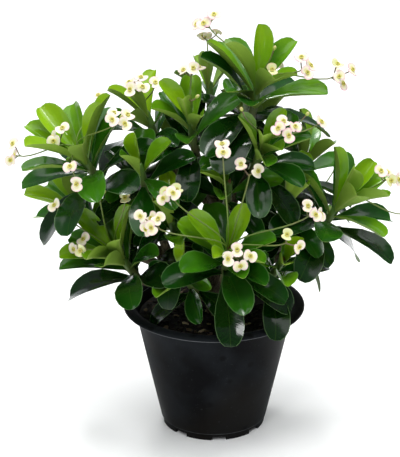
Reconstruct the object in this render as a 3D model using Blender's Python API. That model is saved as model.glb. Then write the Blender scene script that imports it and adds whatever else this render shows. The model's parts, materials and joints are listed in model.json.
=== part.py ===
"""A white-flowered crown-of-thorns euphorbia in a black nursery pot, as a Blender script.

A thorny woody stem stands in the soil and forks into branches. Each branch ends in a leafy stem, a
short green shoot with a whorl of spoon-shaped leaves, and sprays of small two-bracted flowers rise
from the shoot's tip. Metres, +Z up, the origin on the surface under the middle of the pot.
"""

import math
import random

import bpy
from mathutils import Matrix, Vector
from mathutils.bvhtree import BVHTree

MM = 0.001
UP = Vector((0, 0, 1))
GAP = 0.35 * MM

# The pot: a thin tapered tub with a rolled lip and a notched foot ring.
POT_HEIGHT = 150 * MM
LIP_RADIUS = 105 * MM
LIP_DEPTH = 4.6 * MM
MOUTH_RADIUS = 91.5 * MM
BASE_RADIUS = 62 * MM
WALL = 1.7 * MM
FOOT_HEIGHT = 6 * MM
POT_SIDES = 30
NOTCHES = 8
NOTCH_WIDTH = 16 * MM
NOTCH_HEIGHT = 4.4 * MM
FIRST_NOTCH = math.radians(-84.5)
DRAIN_RADIUS = 5 * MM
DRAIN_CIRCLE = 32 * MM
DRAINS = 4

# The soil fills the pot to just under the lip, and the trunk stands in a plain hole in it.
SOIL_TOP = 136 * MM
SOIL_RELIEF = 2.4 * MM
SOIL_SIDES = 16
TRUNK_RADIUS = 11 * MM
TRUNK_FOOT = 100 * MM

# The woody stems. Each fork is a point, and each limb or twig runs from a fork to the next one.
FORKS = {
    "soil": (0, 0, 100),
    "crown": (1, -1, 160),
    "left": (-46, -6, 186),
    "upper": (4, 14, 256),
    "right": (50, 6, 190),
    "back": (2, 46, 192),
}
LIMBS = [("soil", "crown", 11, 9.5), ("crown", "left", 8.5, 7), ("crown", "upper", 9, 7.5),
         ("crown", "right", 8.5, 7), ("crown", "back", 8.5, 7)]
TWIG_RADIUS = 6 * MM
THORN_LENGTH = 11 * MM
THORN_RADIUS = 1.1 * MM
THORN_SHARE = 0.06

# The leafy stems: fork it grows from, tip (mm), the way it points, leaves, longest leaf (mm), bearing
# of the lowest leaf (degrees round the stem), how far the lowest leaves open (degrees off the stem),
# and the seed of its leaves' small differences.
SHOOT_LENGTH = 56 * MM
SHOOT_FOOT_RADIUS = 5.4 * MM
SHOOT_TIP_RADIUS = 4.6 * MM
SHOOT_SIDES = 6
WHORL = 3
SEAT_HEIGHT = 1.8 * MM
SHOOTS = {
    "front": ("crown", (15, -80, 246), (0.08, -0.50, 0.86), 20, 78, 44, 88, 0),
    "lower_left": ("left", (-110, -44, 230), (-0.46, -0.36, 0.81), 18, 80, 36, 64, 5),
    "left": ("left", (-152, -14, 338), (-0.48, -0.20, 0.85), 19, 90, 24, 88, 4),
    "upper_left": ("upper", (-78, 30, 370), (-0.34, -0.08, 0.94), 12, 66, 12, 96, 0),
    "upper_middle": ("upper", (-27, -16, 376), (-0.12, -0.34, 0.93), 14, 70, 36, 80, 0),
    "top": ("upper", (48, 6, 410), (0.16, -0.14, 0.98), 18, 90, 72, 94, 5),
    "middle": ("upper", (52, -44, 354), (0.20, -0.52, 0.83), 16, 72, 84, 90, 1),
    "right": ("right", (144, -8, 276), (0.50, -0.22, 0.84), 18, 84, 108, 92, 2),
    "upper_right": ("right", (108, 36, 318), (0.36, 0.04, 0.93), 13, 72, 48, 96, 0),
    "left_middle": ("left", (-84, -42, 332), (-0.18, -0.50, 0.85), 13, 70, 0, 98, 4),
    "lower_right": ("crown", (76, -50, 222), (0.34, -0.50, 0.80), 12, 68, 60, 84, 5),
    "inner_left": ("crown", (-48, -34, 262), (-0.16, -0.48, 0.86), 12, 70, 72, 96, 0),
    "inner_right": ("right", (84, -18, 284), (0.28, -0.40, 0.87), 12, 70, 0, 96, 0),
    "back_top": ("back", (50, 78, 352), (0.22, 0.40, 0.88), 11, 68, 78, 96, 0),
    "back_left": ("back", (-62, 80, 326), (-0.30, 0.42, 0.84), 10, 68, 86, 96, 0),
    "back_low": ("back", (4, 92, 236), (0.02, 0.60, 0.75), 10, 66, 66, 96, 0),
    "back_right": ("back", (108, 70, 238), (0.56, 0.40, 0.72), 10, 70, 8, 96, 0),
    "far_left": ("left", (-160, 20, 260), (-0.66, -0.10, 0.74), 14, 80, 36, 92, 5),
    "back_middle": ("upper", (-6, 54, 398), (-0.06, 0.26, 0.95), 9, 60, 41, 96, 0),
    "inner_middle": ("crown", (16, -34, 308), (0.06, -0.46, 0.86), 11, 68, 20, 98, 0),
    "low_front": ("crown", (-38, -62, 212), (-0.38, -0.52, 0.74), 10, 62, 30, 90, 0),
}

# A leaf: spoon-shaped, narrow at the foot and round at the tip.
LEAF_WIDTH = 0.44
LEAF_THICKNESS = 1.3 * MM
WIDEST = 0.68
FOOT_SHARE = 0.15
MIDRIB_STEPS = 24
LEAF_STATIONS = (0.36, 0.70, 0.93)
CLEARANCE = 0.9 * MM

# The flower sprays: shoot, where the stalk forks (mm), open flowers, buds.
STALK_RADIUS = 0.85 * MM
FLOWER_REACH = 8.6 * MM
FLOWER_WAIST = 5.0 * MM
PEDICEL_LENGTH = 13 * MM
HEAD_LEAN = math.radians(50)
HEAD_STEP = 2.2 * MM
MIDDLE_HEAD = 1.6
LONE_HEAD = 0.6
SPRAY_SEED = 13
SPRAYS = [
    ("front", (24, -120, 251), 4, 0),
    ("front", (-64, -100, 280), 5, 0),
    ("front", (103, -80, 286), 3, 0),
    ("front", (77, -106, 264), 2, 0),
    ("front", (8, -88, 357), 2, 0),
    ("front", (37, -78, 332), 2, 0),
    ("front", (-46, -86, 308), 4, 0),
    ("lower_left", (-145, -64, 241), 3, 0),
    ("lower_left", (-126, -60, 300), 0, 2),
    ("lower_left", (-98, -66, 294), 1, 0),
    ("lower_left", (-172, -44, 278), 1, 0),
    ("left", (-105, -44, 380), 4, 1),
    ("left", (-172, -24, 353), 3, 0),
    ("left", (-152, -74, 331), 2, 0),
    ("left", (-219, -10, 330), 3, 0),
    ("left", (-132, 22, 383), 1, 0),
    ("upper_left", (-86, 4, 404), 4, 0),
    ("upper_left", (-67, 12, 402), 1, 0),
    ("upper_middle", (-26, 2, 421), 3, 0),
    ("upper_middle", (-25, -36, 402), 0, 2),
    ("top", (-8, 0, 476), 4, 0),
    ("top", (63, 8, 441), 0, 1),
    ("top", (59, -40, 433), 1, 0),
    ("top", (96, -16, 431), 3, 0),
    ("top", (133, 10, 415), 5, 0),
    ("middle", (73, -78, 380), 4, 0),
    ("middle", (94, -54, 386), 0, 1),
    ("middle", (110, -30, 371), 1, 0),
    ("middle", (30, -70, 396), 0, 1),
    ("right", (190, -26, 308), 4, 0),
    ("right", (215, -2, 258), 3, 0),
    ("back_top", (66, 112, 398), 2, 1),
    ("back_left", (-88, 112, 372), 3, 0),
    ("back_low", (8, 118, 282), 3, 0),
    ("back_right", (146, 98, 282), 2, 0),
    ("back_middle", (-8, 72, 442), 3, 0),
]
PLANT_MIDDLE = Vector((0, 0, 260)) * MM


def paint(name, colour, roughness):
    """A plain material for one kind of piece."""
    material = bpy.data.materials.new(name)
    material.use_nodes = True
    shader = material.node_tree.nodes["Principled BSDF"]
    shader.inputs["Base Color"].default_value = (*colour, 1)
    shader.inputs["Roughness"].default_value = roughness
    shader.inputs["Metallic"].default_value = 0
    material.diffuse_color = (*colour, 1)
    return material


def solid(name, points, faces, material=None):
    """An object whose mesh has these points and faces."""
    mesh = bpy.data.meshes.new(name)
    mesh.from_pydata([tuple(p) for p in points], [], faces)
    mesh.shade_smooth()
    if material:
        mesh.materials.append(material)
    made = bpy.data.objects.new(name, mesh)
    bpy.context.scene.collection.objects.link(made)
    return made


def combined(name, base, others, operation):
    """Base with the others joined to it or cut from it, by one Boolean that is then applied."""
    tools = bpy.data.collections.new(name + "_tools")
    for other in others:
        bpy.context.scene.collection.objects.unlink(other)
        tools.objects.link(other)
    step = base.modifiers.new(operation, "BOOLEAN")
    step.operation = operation
    step.operand_type = "COLLECTION"
    step.collection = tools
    step.solver = "EXACT"
    graph = bpy.context.evaluated_depsgraph_get()
    joined = bpy.data.meshes.new_from_object(base.evaluated_get(graph))
    base.modifiers.clear()
    base.data = joined
    for other in others:
        bpy.data.objects.remove(other)
    bpy.data.collections.remove(tools)
    base.name = name
    return base


def turned(name, profile, sides, material, height_at=None):
    """A solid turned about the Z axis. A profile that ends on the axis at both ends closes there."""
    on_axis = profile[0][0] == 0
    points, rows = [], []
    for radius, height in profile:
        if radius == 0:
            rows.append([len(points)] * sides)
            points.append(Vector((0, 0, height)))
            continue
        rows.append(list(range(len(points), len(points) + sides)))
        for side in range(sides):
            angle = 2 * math.pi * side / sides
            lift = height_at(radius, side, height) if height_at else height
            points.append(Vector((radius * math.cos(angle), radius * math.sin(angle), lift)))
    faces = []
    last = len(rows) - 1 if on_axis else len(rows)
    for row in range(last):
        low, high = rows[row], rows[(row + 1) % len(rows)]
        for side in range(sides):
            after = (side + 1) % sides
            ring = [low[side], low[after], high[after], high[side]]
            faces.append(list(dict.fromkeys(ring)))
    return solid(name, points, faces, material)


def inner_radius(height):
    """Radius of the pot's inside at a height above its floor."""
    rise = (height - FOOT_HEIGHT) / (POT_HEIGHT - FOOT_HEIGHT)
    return BASE_RADIUS - WALL + (MOUTH_RADIUS - BASE_RADIUS + WALL) * rise


def make_pot(material):
    """The tub with its rolled lip, drain holes in its floor and notches in its foot ring."""
    floor = FOOT_HEIGHT + 2 * MM
    under_lip = POT_HEIGHT - LIP_DEPTH
    profile = [
        (6 * MM, FOOT_HEIGHT),
        (56.5 * MM, FOOT_HEIGHT),
        (57.2 * MM, 0),
        (60.4 * MM, 0),
        (60.8 * MM, FOOT_HEIGHT - 0.4 * MM),
        (BASE_RADIUS, FOOT_HEIGHT + 0.2 * MM),
        (inner_radius(POT_HEIGHT - 5 * MM) + WALL, POT_HEIGHT - 5 * MM),
        (100.6 * MM, POT_HEIGHT - 4 * MM),
        (LIP_RADIUS - 1.8 * MM, under_lip + 0.3 * MM),
        (LIP_RADIUS - 0.5 * MM, under_lip),
        (LIP_RADIUS, POT_HEIGHT - 2.8 * MM),
        (103 * MM, POT_HEIGHT - 1 * MM),
        (96 * MM, POT_HEIGHT),
        (MOUTH_RADIUS, POT_HEIGHT - 2.2 * MM),
        (inner_radius(floor), floor),
        (6 * MM, floor),
    ]
    pot = turned("pot", profile, POT_SIDES, material)
    cutters = []
    for notch in range(NOTCHES):
        angle = FIRST_NOTCH + 2 * math.pi * notch / NOTCHES
        cutters.append(block(NOTCH_WIDTH, (52 * MM, 66 * MM), (-2 * MM, NOTCH_HEIGHT), angle))
    for drain in range(DRAINS):
        angle = FIRST_NOTCH + 2 * math.pi * (drain + 0.5) / DRAINS
        middle = Vector((math.cos(angle), math.sin(angle), 0)) * DRAIN_CIRCLE
        line = [middle + UP * z for z in (2 * MM, 12 * MM)]
        cutters.append(tube("drain", line, [DRAIN_RADIUS] * 2, 6))
    return combined("pot", pot, cutters, "DIFFERENCE")


def block(width, radii, heights, angle):
    """A box standing radially at an angle round the pot."""
    corners = []
    for height in heights:
        for radius in radii:
            for side in (-width / 2, width / 2):
                corners.append(Matrix.Rotation(angle, 3, "Z") @ Vector((radius, side, height)))
    faces = [(0, 1, 3, 2), (4, 6, 7, 5), (0, 4, 5, 1), (2, 3, 7, 6), (0, 2, 6, 4), (1, 5, 7, 3)]
    return solid("cutter", corners, faces)


def make_soil(material):
    """Potting mix with a lumpy top, clear of the pot's wall, and a plain hole for the trunk."""
    random.seed(7)
    floor = FOOT_HEIGHT + 2 * MM + GAP
    lumps = {}

    def lump(radius, side, height):
        if height < SOIL_TOP - 1 * MM or radius < TRUNK_RADIUS + 3 * MM:
            return height
        key = (round(radius, 5), side)
        if key not in lumps:
            lumps[key] = random.uniform(-1, 1) * SOIL_RELIEF
        return height + lumps[key]

    wall_gap = 1.2 * MM
    rim = inner_radius(SOIL_TOP) - wall_gap
    hole = TRUNK_RADIUS + 1.6 * MM
    profile = [(0, floor), (inner_radius(floor) - wall_gap, floor), (rim, SOIL_TOP - 4 * MM)]
    profile += [(rim * share, SOIL_TOP) for share in (0.97, 0.84, 0.70, 0.56, 0.42, 0.28)]
    profile += [(hole, SOIL_TOP), (hole, TRUNK_FOOT - 1 * MM), (0, TRUNK_FOOT - 1 * MM)]
    return turned("soil", profile, SOIL_SIDES, material, lump)


def square_to(way):
    """Two unit vectors square to a direction and to each other."""
    first = way.cross(UP if abs(way.z) < 0.9 else Vector((0, 1, 0))).normalized()
    return first, way.cross(first).normalized()


def tube(name, line, radii, sides, material=None, end_way=None):
    """A closed tube along a line of points, its ends square to it or to the way given."""
    ways = []
    for i in range(len(line)):
        before, after = line[max(i - 1, 0)], line[min(i + 1, len(line) - 1)]
        ways.append((after - before).normalized())
    ways[-1] = end_way or ways[-1]
    across, _ = square_to(ways[0])
    points, faces = [], []
    for i, (centre, way) in enumerate(zip(line, ways)):
        across = (across - way * across.dot(way)).normalized()
        other = way.cross(across)
        for side in range(sides):
            angle = 2 * math.pi * side / sides
            points.append(centre + (across * math.cos(angle) + other * math.sin(angle)) * radii[i])
        if i == 0:
            continue
        first = (i - 1) * sides
        for side in range(sides):
            after = (side + 1) % sides
            faces.append((first + side, first + after, first + sides + after, first + sides + side))
    faces.append(tuple(reversed(range(sides))))
    faces.append(tuple(range(len(points) - sides, len(points))))
    return solid(name, points, faces, material)


def curve_between(start, start_way, end, end_way, pull, steps):
    """Points on a smooth curve that leaves and arrives along the given directions."""
    reach = (end - start).length * pull
    a, b = start + start_way * reach, end - end_way * reach
    line = []
    for step in range(steps + 1):
        t = step / steps
        s = 1 - t
        line.append(start * s**3 + a * 3 * s * s * t + b * 3 * s * t * t + end * t**3)
    return line


def shoot_axis(name):
    return Vector(SHOOTS[name][2]).normalized()


def shoot_tip(name):
    return Vector(SHOOTS[name][1]) * MM


def shoot_foot(name):
    return shoot_tip(name) - shoot_axis(name) * SHOOT_LENGTH


def fork(name):
    return Vector(FORKS[name]) * MM


def woody_lines():
    """The centre line, radii and last direction of the trunk, each limb and each twig."""
    lines = []
    for start, end, wide, narrow in LIMBS:
        a, b = fork(start), fork(end)
        way = (b - a).normalized()
        rising = (way + UP * 0.8).normalized()
        steps = 2 if start == "soil" else 3
        line = curve_between(a, UP if start == "soil" else rising, b, rising, 0.3, steps)
        radii = [(wide + (narrow - wide) * i / steps) * MM for i in range(steps + 1)]
        line[0] -= (line[1] - line[0]).normalized() * 4 * MM * (start != "soil")
        lines.append((line, radii, rising))
    for name, shoot in SHOOTS.items():
        a, axis = fork(shoot[0]), shoot_axis(name)
        b = shoot_foot(name) - axis * GAP
        leaving = ((b - a).normalized() + UP * 0.3).normalized()
        line = curve_between(a - leaving * 4 * MM, leaving, b, axis, 0.33, 3)
        lines.append((line, [TWIG_RADIUS] * 3 + [SHOOT_FOOT_RADIUS], axis))
    return lines


def thorn(foot, way):
    """A three-sided spine."""
    across, other = square_to(way)
    points = [foot + way * THORN_LENGTH * random.uniform(0.75, 1.2)]
    for turn in (0, 2.09, 4.19):
        points.append(foot + (across * math.cos(turn) + other * math.sin(turn)) * THORN_RADIUS)
    return points, [(0, 1, 2), (0, 2, 3), (0, 3, 1), (1, 3, 2)]


def thorns_on(limb):
    """Spines on some of a limb's faces, each leaning a little up the limb."""
    made = []
    for face in limb.data.polygons:
        if len(face.vertices) != 4 or random.random() > THORN_SHARE:
            continue
        a, b, c, d = (limb.data.vertices[i].co for i in face.vertices)
        rise = random.uniform(0.25, 0.85)
        foot = (a + b) / 2 * (1 - rise) + (c + d) / 2 * rise - face.normal * 0.8 * MM
        lean = ((c + d) - (a + b)).normalized() * random.uniform(0, 0.5)
        made.append(solid("thorn", *thorn(foot, (face.normal + lean).normalized())))
    return made


def make_woody_stems(material):
    """Trunk, limbs and twigs with their thorns, fused in one thorny body."""
    random.seed(11)
    parts = []
    for line, radii, way in woody_lines():
        parts.append(tube("limb", line, radii, 5 if parts else 10, material, way))
        if len(parts) > 1:
            parts += thorns_on(parts[-1])
    return combined("woody_stems", parts[0], parts[1:], "UNION")


def breadth(t):
    """Half-width of a leaf's blade along its length, as a share of its widest."""
    if t < WIDEST:
        return FOOT_SHARE + (1 - FOOT_SHARE) * math.sin(math.pi / 2 * t / WIDEST) ** 1.5
    return math.sqrt(max(0.0, 1 - ((t - WIDEST) / (1 - WIDEST)) ** 2.3))


class Shoot:
    """A green shoot's rings of points, between which its leaves are seated in whorls."""

    def __init__(self, name):
        self.name = "leafy_stem_" + name
        _, _, _, self.count, longest, first_bearing, self.spread, self.seed = SHOOTS[name]
        self.first_bearing = math.radians(first_bearing)
        self.longest = longest * MM
        self.axis, self.tip = shoot_axis(name), shoot_tip(name)
        self.across, self.other = square_to(self.axis)
        whorls = math.ceil(self.count / WHORL)
        self.heights = [-SHOOT_LENGTH]
        for whorl in range(whorls):
            height = SHOOT_LENGTH * (0.93 * ((whorl + 0.7) / whorls) ** 0.85 - 1)
            self.heights += [height - SEAT_HEIGHT / 2, height + SEAT_HEIGHT / 2]
        self.heights.append(0)
        self.points = []
        for height in self.heights:
            share = 1 + height / SHOOT_LENGTH
            radius = SHOOT_FOOT_RADIUS + (SHOOT_TIP_RADIUS - SHOOT_FOOT_RADIUS) * share
            for side in range(SHOOT_SIDES):
                self.points.append(self.tip + self.axis * height + self.out(side) * radius)

    def out(self, side):
        """The way out from the shoot's axis at one of its corners, or between two."""
        bearing = self.first_bearing + 2 * math.pi * side / SHOOT_SIDES
        return self.across * math.cos(bearing) + self.other * math.sin(bearing)

    def panel(self, row, side):
        """The corners of one panel of the shoot, from its lower left."""
        low, after = row * SHOOT_SIDES, (side + 1) % SHOOT_SIDES
        return low + side, low + after, low + SHOOT_SIDES + after, low + SHOOT_SIDES + side

    def seat(self, i):
        """Row and side of the panel that leaf i grows from."""
        whorl, place = divmod(i, WHORL)
        return 2 * whorl + 1, (2 * place + whorl) % SHOOT_SIDES

    def mesh(self, seated=()):
        """Points and faces of the shoot, open at the panels where leaves are seated."""
        faces = [tuple(reversed(range(SHOOT_SIDES)))]
        for row in range(len(self.heights) - 1):
            faces += [self.panel(row, side) for side in range(SHOOT_SIDES)
                      if (row, side) not in seated]
        last = len(self.points)
        return list(self.points), faces + [tuple(range(last - SHOOT_SIDES, last))]


class Leaf:
    """One leaf's curved midrib and the surface that spreads from it."""

    def __init__(self, shoot, i, turn, opening, length, age, shape):
        row, side = self.seat = shoot.seat(i)
        corners = [shoot.points[k] for k in shoot.panel(row, side)]
        self.foot = [corners[k] for k in (1, 2, 3, 0)]
        axis, out = shoot.axis, Matrix.Rotation(turn, 3, shoot.axis) @ shoot.out(side + 0.5)
        root = sum(corners, Vector()) / 4
        self.length, self.half = length, length * LEAF_WIDTH / 2 * shape["wide"]
        self.shape = shape
        level = 1 - abs((axis * math.cos(opening) + out * math.sin(opening)).z)
        curl = shape["curl"] + math.radians(16) * age * level
        self.line, self.frames = [root], []
        for step in range(MIDRIB_STEPS + 1):
            t = step / MIDRIB_STEPS
            angle = opening + curl * t**1.5
            way = axis * math.cos(angle) + out * math.sin(angle)
            face = axis * math.sin(angle) - out * math.cos(angle)
            turned_face = Matrix.Rotation(shape["twist"] * t, 3, way) @ face
            self.frames.append((way, turned_face))
            self.line.append(self.line[-1] + way * length / MIDRIB_STEPS)
        sag = length * 0.10 * age
        for step, point in enumerate(self.line):
            point.z -= sag * (step / MIDRIB_STEPS) ** 2

    def middle(self, t):
        """The midrib's point, its direction and the way the upper face looks."""
        at = min(t * MIDRIB_STEPS, MIDRIB_STEPS - 1e-6)
        low = int(at)
        point = self.line[low].lerp(self.line[low + 1], at - low)
        way, face = self.frames[low]
        next_way, next_face = self.frames[low + 1]
        way, face = way.lerp(next_way, at - low), face.lerp(next_face, at - low)
        return point, way.normalized(), face.normalized()

    def at(self, t, u):
        """A point on the blade's middle surface: u is -1 and 1 at its edges, 0 on the midrib."""
        point, way, face = self.middle(t)
        side = way.cross(face)
        half = self.half * breadth(t)
        lift = half * math.sin(self.shape["fold"]) * abs(u) ** 1.5
        phase = self.shape["phase"] + (2.1 if u > 0 else 0)
        lift += self.shape["wave"] * u * u * math.sin(7 * t + phase) * breadth(t)
        return point + side * half * u * math.cos(self.shape["fold"]) + face * lift

    def mesh(self, swell=0):
        """Points and faces of the thin blade: four at its foot, four at each station and its tip.
        The last face closes the foot. Swell thickens the blade, to test for room round it."""
        points, faces = list(self.foot), []
        half_thick = LEAF_THICKNESS / 2 + swell
        for t in LEAF_STATIONS:
            point, way, face = self.middle(t)
            side = way.cross(face) * swell
            points += [self.at(t, -1) - side, point + face * half_thick,
                       self.at(t, 1) + side, point - face * half_thick]
        point, way, _ = self.middle(1)
        points.append(point + way * swell)
        for a, b in ((0, 1), (1, 2), (2, 3), (3, 0)):
            faces += [(a, b, a + 4), (b, b + 4, a + 4)]
        for left, top, right, low in ((4, 5, 6, 7), (8, 9, 10, 11)):
            faces += [(left, top, left + 4), (top, top + 4, left + 4),
                      (top, right, right + 4), (top, right + 4, top + 4),
                      (right, low, right + 4), (low, low + 4, right + 4),
                      (low, left, left + 4), (low, left + 4, low + 4)]
        faces += [(12, 13, 16), (13, 14, 16), (14, 15, 16), (15, 12, 16)]
        return points, faces + [(3, 2, 1, 0)]


class Room:
    """What already stands where, so that each new leaf or stalk is bent clear of it."""

    def __init__(self):
        self.taken = []

    def add(self, owner, points, faces):
        lowest = Vector([min(p[i] for p in points) for i in range(3)])
        highest = Vector([max(p[i] for p in points) for i in range(3)])
        tree = BVHTree.FromPolygons([tuple(p) for p in points], faces)
        self.taken.append((owner, lowest, highest, tree))

    def add_object(self, made):
        points = [v.co.copy() for v in made.data.vertices]
        self.add(made.name, points, [tuple(p.vertices) for p in made.data.polygons])

    def hits(self, points, faces, skip=None):
        """The first owner that this shape touches."""
        lowest = [min(p[i] for p in points) for i in range(3)]
        highest = [max(p[i] for p in points) for i in range(3)]
        tree = None
        for owner, low, high, other in self.taken:
            if owner == skip or any(highest[i] < low[i] or lowest[i] > high[i] for i in range(3)):
                continue
            tree = tree or BVHTree.FromPolygons([tuple(p) for p in points], faces)
            if tree.overlap(other):
                return owner
        return None


def nudges():
    """Small turns and tilts to try in turn, the least first, then the same on a smaller leaf."""
    moves = [(turn, tilt) for turn in (0, -8, 8, -16, 16, -25, 25) for tilt in (0, -10, 10, -20, 20)]
    moves.sort(key=lambda move: abs(move[0]) + abs(move[1]))
    return [(math.radians(turn), math.radians(tilt), size)
            for size in (1, 0.86, 0.72) for turn, tilt in moves]


def leaves_of(shoot, room):
    """The leaves of one shoot, lowest and oldest first, each turned until it stands clear."""
    random.seed(shoot.seed)
    placed = []
    blades = Room()
    for i in range(shoot.count):
        rise = i / (shoot.count - 1)
        age = 1 - rise
        shape = {
            "curl": math.radians(10 + 20 * age + random.uniform(-6, 10)),
            "twist": math.radians(random.uniform(-16, 16)),
            "fold": math.radians(26 - 22 * age + random.uniform(-6, 6)),
            "wave": random.uniform(0.4, 1.3) * MM,
            "phase": random.uniform(0, 6.28),
            "wide": random.uniform(0.92, 1.08) * (1 - 0.12 * rise),
        }
        bearing = math.radians(random.uniform(-26, 26))
        opening = math.radians(shoot.spread - (shoot.spread - 22) * rise**0.9 + random.uniform(-5, 5))
        length = shoot.longest * (1 - 0.22 * rise**2) * random.uniform(0.92, 1.04)
        for turn, tilt, size in nudges():
            leaf = Leaf(shoot, i, bearing + turn, opening + tilt, length * size, age, shape)
            if room.hits(*leaf.mesh(swell=CLEARANCE), skip=shoot.name):
                continue
            if blades.hits(*leaf.mesh(swell=0.2 * MM)):
                continue
            placed.append(leaf)
            blades.add(shoot.name, *leaf.mesh())
            break
    return placed


def make_leafy_stem(shoot, room, material):
    """A green shoot and its whorls of leaves, one closed body."""
    leaves = leaves_of(shoot, room)
    points, faces = shoot.mesh([leaf.seat for leaf in leaves])
    for leaf in leaves:
        corners = [shoot.panel(*leaf.seat)[k] for k in (1, 2, 3, 0)]
        own_points, own_faces = leaf.mesh()
        first = len(points) - 4
        faces += [tuple(corners[k] if k < 4 else first + k for k in face)
                  for face in own_faces[:-1]]
        points += own_points[4:]
        room.add(shoot.name, own_points, own_faces)
    print(shoot.name, len(leaves), "of", shoot.count, "leaves")
    return solid(shoot.name, points, faces, material)


def flower(foot, way, length, face, long_way):
    """Two bracts round a small cup, on a pedicel, as one closed shape: a waisted saucer."""
    centre = foot + way * length
    wide_way = face.cross(long_way)

    def ring(middle, radius, turns):
        return [middle + (long_way * math.cos(turn) + wide_way * math.sin(turn)) * radius
                for turn in map(math.radians, turns)]

    points = []
    for turn in (0, 42, 90, 138, 180, 222, 270, 318):
        waist = turn in (90, 270)
        point = ring(centre, 1, (turn,))[0] - centre
        point -= wide_way * point.dot(wide_way) * 0.14
        points.append(centre + point * (FLOWER_WAIST if waist else FLOWER_REACH)
                      + face * (0.3 if waist else 1.5) * MM)
    points.append(centre + face * 0.9 * MM)
    points += ring(centre - face * 2.2 * MM, 1.0 * MM, (90, 210, 330))
    points += ring(foot, 0.55 * MM, (90, 210, 330))
    faces = [(i, (i + 1) % 8, 8) for i in range(8)]
    back, left, right = 9, 10, 11
    faces += [(b, a, back) for a, b in ((0, 1), (1, 2), (2, 3))]
    faces += [(b, a, left) for a, b in ((3, 4), (4, 5), (5, 6))] + [(3, back, left)]
    faces += [(b, a, right) for a, b in ((6, 7), (7, 0))]
    faces += [(6, left, right), (0, right, back)]
    for a, b in ((back, left), (left, right), (right, back)):
        faces.append((a, a + 3, b + 3, b))
    faces.append((14, 13, 12))
    return points, faces


def bud(foot, way):
    """A closed flower bud on a short pedicel."""
    across, other = square_to(way)
    points, faces = [], [(3, 2, 1, 0)]
    for rise, radius in ((0, 0.5), (6, 0.6), (8.5, 1.9), (11, 0.9)):
        for turn in (0, 1.57, 3.14, 4.71):
            points.append(foot + way * rise * MM
                          + (across * math.cos(turn) + other * math.sin(turn)) * radius * MM)
    for low in (0, 4, 8):
        for a, b in ((0, 1), (1, 2), (2, 3), (3, 0)):
            faces.append((low + a, low + b, low + b + 4, low + a + 4))
    faces.append((12, 13, 14, 15))
    return points, faces


def spray_shapes():
    """For each spray: its shoot, its stalk's line, the way it rises, the way out, flowers, buds."""
    seats = {}
    for shoot, target, _, _ in SPRAYS:
        across, other = square_to(shoot_axis(shoot))
        toward = Vector(target) * MM - shoot_tip(shoot)
        angle = math.atan2(toward.dot(other), toward.dot(across))
        seats.setdefault(shoot, []).append((angle, target))
    shapes = []
    for shoot, target, flowers, buds in SPRAYS:
        axis, tip = shoot_axis(shoot), shoot_tip(shoot)
        across, other = square_to(axis)
        order = sorted(seats[shoot])
        place = [entry[1] for entry in order].index(target)
        angle = order[0][0] + 2 * math.pi * place / len(order)
        seat = tip + axis * GAP
        seat += (across * math.cos(angle) + other * math.sin(angle)) * 3.0 * MM
        end = Vector(target) * MM
        rising = ((end - seat).normalized() + UP * 0.35).normalized()
        line = curve_between(seat, axis, end, rising, 0.34, 4)
        shapes.append((shoot, line, rising, end - PLANT_MIDDLE, flowers, buds))
    return shapes


def heads_of(line, rising, outward, flowers, buds):
    """Foot, way, length, face and long way of each flower and bud round the end of a stalk."""
    first, second = square_to(rising)
    total = flowers + buds
    ring = total if total < 5 else total - 1
    chord = (line[-1] - line[-2]).normalized()
    start = random.uniform(0, 2 * math.pi)
    toward_light = Vector((0, -0.6 if line[-1].y < 60 * MM else 0.4, 0.25))
    heads = []
    for i in range(total):
        lean, length = HEAD_LEAN, PEDICEL_LENGTH + (HEAD_STEP if i % 2 else -HEAD_STEP)
        down = 1.2 * (i + 1) * MM
        if total == 1 or i == ring:
            length = PEDICEL_LENGTH * (LONE_HEAD if total == 1 else MIDDLE_HEAD)
            lean, down = 0, 0.5 * MM
        bearing = start + 2 * math.pi * i / ring
        out = first * math.cos(bearing) + second * math.sin(bearing)
        way = rising * math.cos(lean) + out * math.sin(lean)
        foot = line[-1] - chord * down
        face = (way * 0.6 + outward.normalized() * 0.35 + toward_light).normalized()
        side = second if random.random() < 0.5 else first + second * random.uniform(-0.6, 0.6)
        long_way = (side - face * side.dot(face)).normalized()
        heads.append((foot, way, length, face, long_way))
    return heads


def make_spray(name, line, rising, outward, flowers, buds, room, material):
    """A stalk with its flowers and buds, fused in one body."""
    radii = [STALK_RADIUS * (1 - 0.2 * i / (len(line) - 1)) for i in range(len(line))]
    stalk = tube(name, line, radii, 4, material)
    parts = []
    for i, head in enumerate(heads_of(line, rising, outward, flowers, buds)):
        shape = flower(*head) if i < flowers else bud(*head[:2])
        parts.append(solid("flower", *shape))
    spray = combined(name, stalk, parts, "UNION")
    points = [v.co.copy() for v in spray.data.vertices]
    touched = room.hits(points, [tuple(p.vertices) for p in spray.data.polygons])
    if touched:
        print(name, "touches", touched)
    room.add_object(spray)
    return spray


def main():
    for old in list(bpy.data.objects):
        bpy.data.objects.remove(old)
    black_plastic = paint("black_plastic", (0.02, 0.022, 0.024), 0.55)
    potting_mix = paint("potting_mix", (0.05, 0.03, 0.018), 0.95)
    bark = paint("bark", (0.16, 0.11, 0.07), 0.85)
    leaf_green = paint("leaf_green", (0.05, 0.16, 0.01), 0.35)
    flower_white = paint("flower_white", (0.9, 0.88, 0.72), 0.5)
    room = Room()
    for made in (make_pot(black_plastic), make_soil(potting_mix), make_woody_stems(bark)):
        room.add_object(made)
    random.seed(SPRAY_SEED)
    for number, (shoot, *shape) in enumerate(spray_shapes(), 1):
        make_spray(f"flower_spray_{number:02d}_{shoot}", *shape, room, flower_white)
    shoots = [Shoot(name) for name in SHOOTS]
    for shoot in shoots:
        room.add(shoot.name, *shoot.mesh())
    for shoot in shoots:
        make_leafy_stem(shoot, room, leaf_green)
    for node in bpy.context.scene.objects:
        node.data.set_sharp_from_angle(angle=math.radians(38))


main()
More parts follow.
